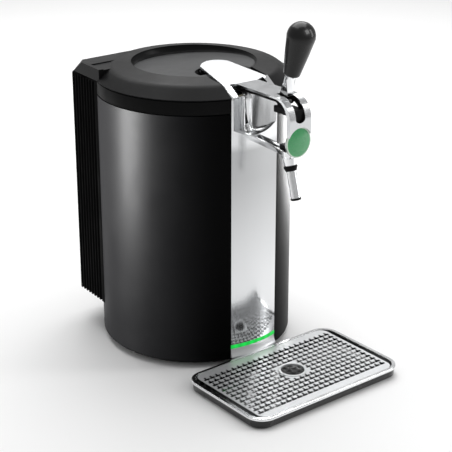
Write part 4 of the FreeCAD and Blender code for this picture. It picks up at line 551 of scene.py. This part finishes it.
def turned(profile, steps):
    """A closed mesh turned about Z from (radius, z) points that start and end on the axis."""
    bm = bmesh.new()
    axis = Vector((0.0, 0.0, 0.0))
    rings = []
    for radius, z in profile:
        points = circle(axis, radius, z, steps) if radius > ON_AXIS else [(0.0, 0.0, z)]
        rings.append([bm.verts.new(point) for point in points])
    for low, high in zip(rings, rings[1:]):
        for k in range(steps):
            corners = [low[k % len(low)], low[(k + 1) % len(low)], high[(k + 1) % len(high)],
                       high[k % len(high)]]
            bm.faces.new([v for i, v in enumerate(corners) if v not in corners[:i]])
    bmesh.ops.recalc_face_normals(bm, faces=bm.faces)
    return bm


def curve_through(points, steps):
    """A smooth line through points of a half section."""
    line = []
    count = len(points)
    for i in range(count - 1):
        near = (points[max(i - 1, 0)], points[i], points[i + 1], points[min(i + 2, count - 1)])
        for k in range(steps):
            t = k / steps
            line.append(tuple(
                0.5 * (2 * b + (c - a) * t + (2 * a - 5 * b + 4 * c - d) * t * t
                       + (3 * b - a - 3 * c + d) * t ** 3)
                for a, b, c, d in zip(*near)))
    line.append(points[-1])
    return [(max(r, 0.0), z) for r, z in line]


def rounded_outline(low, high, radius, z, steps=8):
    """Points round a rectangle with rounded corners."""
    points = []
    for sx, sy, start in ((1, 1, 0.0), (-1, 1, 90.0), (-1, -1, 180.0), (1, -1, 270.0)):
        x = (high.x if sx > 0 else low.x) - sx * radius
        y = (high.y if sy > 0 else low.y) - sy * radius
        for k in range(steps + 1):
            bearing = math.radians(start + 90.0 * k / steps)
            points.append((x + radius * math.cos(bearing), y + radius * math.sin(bearing), z))
    return points


def add_loop(bm, points):
    """Adds a closed loop of edges and returns them."""
    verts = [bm.verts.new(point) for point in points]
    return [bm.edges.new((verts[k - 1], verts[k])) for k in range(len(verts))]


def joined_copy(node, crease=40.0):
    """A solid's mesh as one smoothly shaded skin."""
    mesh = frame["nodes"][node].data.copy()
    bm = bmesh.new()
    bm.from_mesh(mesh)
    bmesh.ops.remove_doubles(bm, verts=bm.verts, dist=WELD)
    bm.to_mesh(mesh)
    bm.free()
    smooth(mesh, crease)
    return evened(mesh)


def evened(mesh):
    """The mesh with normals that keep large flat faces flat beside small curved ones."""
    holder = bpy.data.objects.new("holder", mesh)
    bpy.context.scene.collection.objects.link(holder)
    weighted = holder.modifiers.new("even", "WEIGHTED_NORMAL")
    weighted.keep_sharp = True
    shaded = bpy.data.meshes.new_from_object(holder.evaluated_get(bpy.context.evaluated_depsgraph_get()))
    bpy.data.objects.remove(holder)
    bpy.data.meshes.remove(mesh)
    return shaded


def add_block(mesh, low, high):
    """Adds a block with rounded edges to a mesh."""
    bm = bmesh.new()
    bm.from_mesh(mesh)
    place = Matrix.Translation((low + high) / 2) @ Matrix.Diagonal((*(high - low), 1.0))
    corners = set(bmesh.ops.create_cube(bm, size=1.0, matrix=place)["verts"])
    edges = [edge for edge in bm.edges if edge.verts[0] in corners]
    bmesh.ops.bevel(bm, geom=edges, offset=BACKING_EDGE, segments=2, profile=0.5, affect="EDGES")
    bm.to_mesh(mesh)
    bm.free()


def body_of(node):
    """The moving body that a solid belongs to."""
    for body, members in frame["record"]["behaviour"]["bodies"].items():
        if node in members:
            return body
    raise ValueError("no body holds " + node)


def stand_in(name, mesh, material, node):
    """A visible piece that takes a solid's place on its body."""
    piece = bpy.data.objects.new(name, mesh)
    bpy.context.scene.collection.objects.link(piece)
    mesh.materials.clear()
    mesh.materials.append(material)
    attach(piece, body_of(node))
    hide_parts(node)


def skin(material, *nodes, crease=40.0):
    """Gives solids a finish on a smoothly shaded copy of their skin."""
    for node in nodes:
        stand_in(node + "_skin", joined_copy(node, crease), material, node)


def coat(material, *nodes):
    """Gives solids a finish."""
    for node in nodes:
        solid = frame["nodes"][node]
        for slot in solid.material_slots:
            slot.material = material
        smooth(solid.data)


# ---------------------------------------------------------------- pieces
class DISPENSER_OT_barrel(bpy.types.Operator):
    """Finish the barrel, its collar, foot, well and insulation"""
    bl_idname = "dispenser.barrel"
    bl_label = "Barrel"

    def execute(self, context):
        c = colours()
        skin(satin_paint("barrel_satin", c.barrel), "outer_shell")
        skin(moulded("moulded_trim", c.trim), "collar_ring", "base_pan")
        coat(rubber("foot_rubber", RUBBER_BLACK), "rubber_feet")
        coat(zinc("zinc_screws", SCREW_ZINC), "base_screws", "housing_screws")
        coat(drawn_aluminium("drawn_well", WELL_ALUMINIUM), "keg_well")
        coat(cut_foam("insulation", FOAM), "insulation_foam")
        return {"FINISHED"}


class DISPENSER_OT_front(bpy.types.Operator):
    """Finish the polished panel, its foot and the light under it"""
    bl_idname = "dispenser.front"
    bl_label = "Front panel"

    def execute(self, context):
        c = colours()
        skin(graded_metal("mirror_panel", c.panel), "front_panel", crease=20.0)
        skin(pressed_steel("satin_foot", c.foot), "panel_foot", crease=30.0)
        skin(light_guide("green_guide", c.light), "light_strip")
        coat(printed_board("diode_board", BOARD_GREEN), "light_board")
        return {"FINISHED"}


class DISPENSER_OT_spout(bpy.types.Operator):
    """Finish the tube channel, the lower arm and the spout"""
    bl_idname = "dispenser.spout"
    bl_label = "Spout"

    def execute(self, context):
        c = colours()
        skin(polished_metal("plated_channel", c.plated, roughness=0.10), "tube_channel", "spout_cone",
             crease=30.0)
        tube = brushed_metal("pouring_tube", c.nozzle, roughness=0.14, along=(1.0, 1.0, 0.04),
                             depth=0.01 * MM)
        skin(tube, "spout_nozzle")
        skin(moulded("spout_black", SPOUT_BLACK, roughness=0.35), "spout_collar", "nozzle_tip")
        return {"FINISHED"}


class DISPENSER_OT_housing(bpy.types.Operator):
    """Finish the rear housing and what stands in its back wall"""
    bl_idname = "dispenser.housing"
    bl_label = "Rear housing"

    def execute(self, context):
        c = colours()
        skin(moulded("housing_black", c.housing, roughness=0.5, grain=0.08 * MM, specular=0.5, ior=1.06),
             "rear_housing")
        coat(moulded("grille_black", c.housing, roughness=0.5, grain=0.08 * MM), "rear_grille")
        coat(moulded("inlet_black", INLET_BLACK, roughness=0.4), "power_inlet", "switch_frame")
        coat(gloss_moulding("rocker_red", ROCKER_RED, roughness=0.25), "rocker_button")
        coat(zinc("hinge_pins", SCREW_ZINC), "lid_hinge_pins")
        return {"FINISHED"}


class DISPENSER_OT_cooler(bpy.types.Operator):
    """Finish the cooling unit and the electrics"""
    bl_idname = "dispenser.cooler"
    bl_label = "Cooling unit"

    def execute(self, context):
        coat(brushed_metal("milled_aluminium", MILLED_ALUMINIUM, roughness=0.3, along=(1.0, 1.0, 0.06)),
             "cold_block", "heat_sink")
        coat(cut_foam("module_ceramic", CERAMIC), "peltier_module")
        coat(moulded("fan_black", FAN_BLACK, roughness=0.4), "fan_frame", "fan_rotor")
        coat(zinc("supply_case", CASE_ZINC), "power_supply")
        coat(printed_board("control_board", BOARD_GREEN), "control_board")
        return {"FINISHED"}


class DISPENSER_OT_lid(bpy.types.Operator):
    """Finish the lid, its disc, plug and trim"""
    bl_idname = "dispenser.lid"
    bl_label = "Lid"

    def execute(self, context):
        c = colours()
        skin(moulded("lid_grey", c.lid, roughness=0.33, grain=0.04 * MM), "lid_shell", crease=15.0)
        skin(moulded("disc_grey", c.disc, roughness=0.34, grain=0.03 * MM), "lid_disc")
        coat(moulded("liner_white", LINER_WHITE, roughness=0.4, grain=0.04 * MM), "lid_liner")
        coat(cut_foam("lid_foam", FOAM), "lid_core")
        coat(rubber("seal_rubber", SEAL_BLACK), "lid_seal")
        skin(polished_metal("trim_legs", c.plated), "lid_trim")
        return {"FINISHED"}


def with_wide_slot(node, reach):
    """A copy of the cover or its liner with the lever's slot widened."""
    s = settings()
    mesh = joined_copy(node, crease=6.0)
    for vert in mesh.vertices:
        x, y, z = vert.co
        if abs(x) < reach + SLOT_SLACK and y < s.pivot[1] + SLOT_BACK and z > s.slot_foot:
            vert.co.x = x * s.slot_widening
    return mesh


class DISPENSER_OT_tap(bpy.types.Operator):
    """Finish the tap cover, its frame, pins and plunger"""
    bl_idname = "dispenser.tap"
    bl_label = "Tap cover"

    def execute(self, context):
        s = settings()
        c = colours()
        satin = polished_metal("satin_cover", c.cover, roughness=0.22, wave=0.003 * MM)
        stand_in("tap_cover_skin", with_wide_slot("tap_cover", s.slot_half), satin, "tap_cover")
        liner = with_wide_slot("cover_liner", s.slot_half + LINER_REACH)
        for foot, top, depth in ((BACKING_FOOT, BACKING_STEP + BACKING_LAP, BACKING_WALL),
                                 (BACKING_STEP, BACKING_TOP, BACKING_SHELF)):
            add_block(liner, Vector((-BACKING_HALF, BACKING_FRONT, foot)),
                      Vector((BACKING_HALF, BACKING_FRONT + depth, top)))
        stand_in("cover_liner_skin", liner, moulded("frame_black", FRAME_BLACK, roughness=0.4),
                 "cover_liner")
        coat(moulded("plunger_black", PLUNGER_BLACK, roughness=0.4), "pinch_plunger")
        coat(zinc("tap_pins", c.pins), "cover_hinge_pin", "lever_pin")
        skin(lever_metal("plated_lever", c.plated, s.pivot, s.lean), "lever_stem")
        return {"FINISHED"}


class DISPENSER_OT_badge(bpy.types.Operator):
    """Model the bare domed badge and finish its rim"""
    bl_idname = "dispenser.badge"
    bl_label = "Badge"

    def execute(self, context):
        s = settings()
        low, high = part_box("badge_ring")
        seat = Vector((0.0, high.y, (low.z + high.z) / 2))
        rise = s.badge_dome - s.badge_depth
        profile = [(0.0, 0.0), (s.badge_radius, 0.0)]
        for k in range(DOME_STEPS + 1):
            share = 1 - k / DOME_STEPS
            profile.append((s.badge_radius * share, s.badge_depth + rise * (1 - share ** 2)))
        dome = turned(profile, s.steps)
        place = Matrix.Translation(seat) @ Matrix.Rotation(math.radians(90.0), 4, "X")
        bmesh.ops.transform(dome, matrix=place, verts=dome.verts)
        mesh = to_mesh(dome, "tap_badge_dome")
        smooth(mesh)
        stand_in("badge_dome", mesh, enamel("badge_enamel", colours().badge), "tap_badge")
        skin(gloss_moulding("badge_rim_pale", RIM_PALE, roughness=0.25), "badge_ring")
        return {"FINISHED"}


class DISPENSER_OT_grip(bpy.types.Operator):
    """Model the lever's black grip"""
    bl_idname = "dispenser.grip"
    bl_label = "Lever grip"

    def execute(self, context):
        s = settings()
        foot = s.grip_foot
        ball = s.grip_ball
        start = s.grip_start
        far = s.grip_ball_at
        flank = [(foot + swell * (ball - foot), start + height) for height, swell in GRIP_FLANK]
        flank.append((ball * math.cos(GRIP_MEETING), far - ball * math.sin(GRIP_MEETING)))
        profile = [(0.0, start)] + [(foot - inset, start + height) for inset, height in GRIP_EDGE]
        profile += curve_through(flank, FLANK_STEPS)[:-1]
        for k in range(BALL_STEPS):
            bearing = -GRIP_MEETING + (math.pi / 2 + GRIP_MEETING) * k / BALL_STEPS
            profile.append((ball * math.cos(bearing), far + ball * math.sin(bearing)))
        profile.append((0.0, far + ball))
        grip = turned(profile, s.steps)
        place = Matrix.Translation(Vector(s.pivot)) @ Matrix.Rotation(s.lean, 4, "X")
        bmesh.ops.transform(grip, matrix=place, verts=grip.verts)
        mesh = to_mesh(grip, "lever_grip_turned")
        smooth(mesh, crease=50.0)
        stand_in("grip", mesh, gloss_moulding("grip_black", colours().grip, roughness=0.30, coat=0.20),
                 "lever_grip")
        return {"FINISHED"}


class DISPENSER_OT_tray(bpy.types.Operator):
    """Finish the drip tray, its rim and feet"""
    bl_idname = "dispenser.tray"
    bl_label = "Drip tray"

    def execute(self, context):
        c = colours()
        bowl = joined_copy("tray_body")
        low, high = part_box("tray_body")
        middle = (low + high) / 2
        for vert in bowl.vertices:
            flare = settings().tray_flare * (high.z - vert.co.z) / (high.z - low.z)
            for axis in (0, 1):
                reach = (high[axis] - low[axis]) / 2
                vert.co[axis] += flare * (vert.co[axis] - middle[axis]) / reach
        stand_in("tray_bowl", bowl, gloss_moulding("tray_black", c.tray, roughness=0.22), "tray_body")
        skin(polished_metal("plated_rim", c.rim, roughness=0.16), "tray_rim")
        coat(rubber("tray_feet_rubber", RUBBER_BLACK), "tray_feet")
        return {"FINISHED"}


# ---------------------------------------------------------------- grille
def near_drain(x, y, margin=0.0):
    """Whether a place, counted from the grille's middle, lies in the blank square round the drain."""
    s = settings()
    reach = s.drain_radius + s.drain_ring + DRAIN_MARGIN + margin
    return abs(x) < reach and abs(y - s.drain_shift) < reach


def add_holed_field(bm, middle, top):
    """Adds the field of T-shaped holes as flat faces, with a blank square round the drain."""
    s = settings()
    pitch = s.hole_pitch
    bar = (pitch - s.hole_tie) / 2
    stem = (pitch - s.hole_tongue) / 2
    front = -(pitch - s.hole_rib) / 2
    across = [-pitch / 2, -bar, -stem, stem, bar, pitch / 2]
    along = [-pitch / 2, front, front + s.hole_bar, -front, pitch / 2]
    corners = {}

    def corner(x, y):
        key = (round(x / MICRON), round(y / MICRON))
        if key not in corners:
            corners[key] = bm.verts.new((x, y, top))
        return corners[key]

    for column in range(s.hole_columns):
        for row in range(s.hole_rows):
            x = (column - (s.hole_columns - 1) / 2) * pitch
            y = (row - (s.hole_rows - 1) / 2) * pitch
            if near_drain(x, y):
                continue
            for i in range(len(across) - 1):
                for j in range(len(along) - 1):
                    if (i, j) in HOLE_CELLS:
                        continue
                    bm.faces.new([corner(middle.x + x + across[i + right], middle.y + y + along[j + back])
                                  for right, back in ((0, 0), (1, 0), (1, 1), (0, 1))])


def field_borders(bm, middle):
    """The edges round the field of holes, and those round the blank square in it."""
    s = settings()
    half = s.hole_pitch / 2
    outer = []
    inner = []
    for edge in bm.edges:
        if not edge.is_boundary:
            continue
        x, y = ((edge.verts[0].co + edge.verts[1].co) / 2 - middle).xy
        if abs(abs(x) - s.hole_columns * half) < TOUCH or abs(abs(y) - s.hole_rows * half) < TOUCH:
            outer.append(edge)
        elif near_drain(x, y, half):
            column = x / s.hole_pitch + s.hole_columns / 2
            row = y / s.hole_pitch + s.hole_rows / 2
            if min(abs(column - round(column)), abs(row - round(row))) < ON_LINE:
                inner.append(edge)
    return outer, inner


def add_drain_ring(bm, drain, low, high):
    """Adds the raised ring round the drain hole."""
    s = settings()
    inset, drop = RING_EDGE
    inside = s.drain_radius
    outside = inside + s.drain_ring
    section = [(inside, low), (inside, high - drop), (inside + inset, high), (outside - inset, high),
               (outside, high - drop), (outside, low)]
    rings = [[bm.verts.new(point) for point in circle(drain, radius, z, s.steps)] for radius, z in section]
    for near, far in zip(rings, rings[1:] + rings[:1]):
        for k in range(s.steps):
            bm.faces.new([near[k - 1], near[k], far[k], far[k - 1]])


class DISPENSER_OT_grille(bpy.types.Operator):
    """Model the tray's grille: rows of tongues over T-shaped holes, and the ringed drain hole"""
    bl_idname = "dispenser.grille"
    bl_label = "Tray grille"

    def execute(self, context):
        s = settings()
        low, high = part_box("tray_grille")
        middle = (low + high) / 2
        top = high.z - RING_RISE
        drain = Vector((middle.x, middle.y + s.drain_shift, top))
        bm = bmesh.new()
        add_holed_field(bm, middle, top)
        outer, inner = field_borders(bm, middle)
        outer += add_loop(bm, rounded_outline(low, high, GRILLE_CORNER, top))
        bmesh.ops.triangle_fill(bm, edges=outer, use_beauty=True)
        inner += add_loop(bm, circle(drain, s.drain_radius + RING_LAP * s.drain_ring, top, s.steps))
        bmesh.ops.triangle_fill(bm, edges=inner, use_beauty=True)
        bmesh.ops.recalc_face_normals(bm, faces=bm.faces)
        lower = bmesh.ops.extrude_face_region(bm, geom=bm.faces[:])["geom"]
        bmesh.ops.translate(bm, vec=(0.0, 0.0, -s.plate),
                            verts=[item for item in lower if isinstance(item, bmesh.types.BMVert)])
        add_drain_ring(bm, drain, low.z, high.z)
        bmesh.ops.recalc_face_normals(bm, faces=bm.faces)
        mesh = to_mesh(bm, "grille_sheet")
        smooth(mesh)
        stand_in("grille_sheet", mesh, pressed_steel("grille_steel", colours().grille), "tray_grille")
        return {"FINISHED"}


# ---------------------------------------------------------------- studio
def softbox(name, place, target, size, watts):
    """A rectangular light that faces a point."""
    lamp = bpy.data.lights.new(name, "AREA")
    lamp.shape = "RECTANGLE"
    lamp.size, lamp.size_y = size
    lamp.energy = watts
    holder = bpy.data.objects.new(name, lamp)
    holder.location = place
    aim = Vector(target) - Vector(place)
    holder.rotation_euler = aim.to_track_quat("-Z", "Y").to_euler()
    bpy.context.scene.collection.objects.link(holder)
    return holder


def light_only(group, lamps, *pieces):
    """Makes lamps light only the named pieces."""
    lit = bpy.data.collections.new(group)
    for piece in pieces:
        lit.objects.link(bpy.data.objects[piece])
    for lamp in lamps:
        lamp.light_linking.receiver_collection = lit


class DISPENSER_OT_studio(bpy.types.Operator):
    """Set up the floor, the lights and the camera"""
    bl_idname = "dispenser.studio"
    bl_label = "Studio"

    def execute(self, context):
        scene = context.scene
        s = scene.dispenser_studio
        bm = bmesh.new()
        bmesh.ops.create_grid(bm, x_segments=2, y_segments=2, size=FLOOR_HALF)
        floor = bpy.data.objects.new("floor", to_mesh(bm, "floor"))
        floor.data.materials.append(studio_floor("studio_floor", colours().floor))
        scene.collection.objects.link(floor)
        scene.world = bpy.data.worlds.new("studio")
        scene.world.use_nodes = True
        background = scene.world.node_tree.nodes["Background"]
        background.inputs["Color"].default_value = (1.0, 1.0, 1.0, 1.0)
        background.inputs["Strength"].default_value = s.sky
        softbox("top_light", (0.45, 0.85, 2.3), target=(0.0, 0.05, 0.0), size=(2.5, 2.5), watts=s.top)
        softbox("back_light", (1.21, 1.37, 1.72), target=(0.0, 0.07, 0.35), size=(1.6, 0.7), watts=s.back)
        softbox("right_light", (1.45, -1.08, 0.9), target=(0.0, 0.07, 0.25), size=(0.35, 1.4),
                watts=s.right)
        left = softbox("left_light", (-0.564, 0.275, 0.27), BARREL_MIDDLE, UPRIGHT, s.left)
        edge = softbox("edge_light", (0.66, 0.17, 0.27), BARREL_MIDDLE, UPRIGHT, s.edge)
        glint = softbox("grip_light", (0.35, -1.2, 1.3), target=(0.0, -0.14, 0.45), size=(0.7, 0.7),
                        watts=s.glint)
        light_only("barrel_pieces", (left, edge), "outer_shell_skin", "base_pan_skin")
        light_only("grip_pieces", (glint,), "grip")
        scene.view_settings.view_transform = "Standard"
        lens = bpy.data.cameras.new("camera")
        lens.lens = s.lens
        lens.sensor_width = SENSOR
        camera = bpy.data.objects.new("camera", lens)
        camera.location = s.eye
        camera.rotation_euler = (s.tilt, 0.0, s.turn)
        scene.collection.objects.link(camera)
        scene.camera = camera
        return {"FINISHED"}


# ---------------------------------------------------------------- add-on
OPERATORS = (
    DISPENSER_OT_barrel, DISPENSER_OT_front, DISPENSER_OT_spout, DISPENSER_OT_housing,
    DISPENSER_OT_cooler, DISPENSER_OT_lid, DISPENSER_OT_tap, DISPENSER_OT_badge, DISPENSER_OT_grip,
    DISPENSER_OT_tray, DISPENSER_OT_grille, DISPENSER_OT_studio)


class DISPENSER_PT_pieces(bpy.types.Panel):
    """Lists the pieces and the settings"""
    bl_idname = "DISPENSER_PT_pieces"
    bl_label = "Keg beer dispenser"
    bl_space_type = "VIEW_3D"
    bl_region_type = "UI"
    bl_category = "Dispenser"

    def draw(self, context):
        for operator in OPERATORS:
            self.layout.operator(operator.bl_idname)
        for group in (context.scene.dispenser_colours, context.scene.dispenser_shapes,
                      context.scene.dispenser_studio):
            box = self.layout.box()
            for key in group.bl_rna.properties.keys():
                if key not in ("rna_type", "name"):
                    box.prop(group, key)


CLASSES = (DispenserColours, DispenserShapes, DispenserStudio) + OPERATORS + (DISPENSER_PT_pieces,)


def register():
    """Adds the settings, operators and panel to Blender."""
    for item in CLASSES:
        bpy.utils.register_class(item)
    bpy.types.Scene.dispenser_colours = PointerProperty(type=DispenserColours)
    bpy.types.Scene.dispenser_shapes = PointerProperty(type=DispenserShapes)
    bpy.types.Scene.dispenser_studio = PointerProperty(type=DispenserStudio)


def unregister():
    """Takes them out again."""
    del bpy.types.Scene.dispenser_studio
    del bpy.types.Scene.dispenser_shapes
    del bpy.types.Scene.dispenser_colours
    for item in reversed(CLASSES):
        bpy.utils.unregister_class(item)


def main():
    """Makes every piece in order."""
    register()
    for operator in OPERATORS:
        group, name = operator.bl_idname.split(".")
        getattr(getattr(bpy.ops, group), name)()


if __name__ == "__main__":
    main()
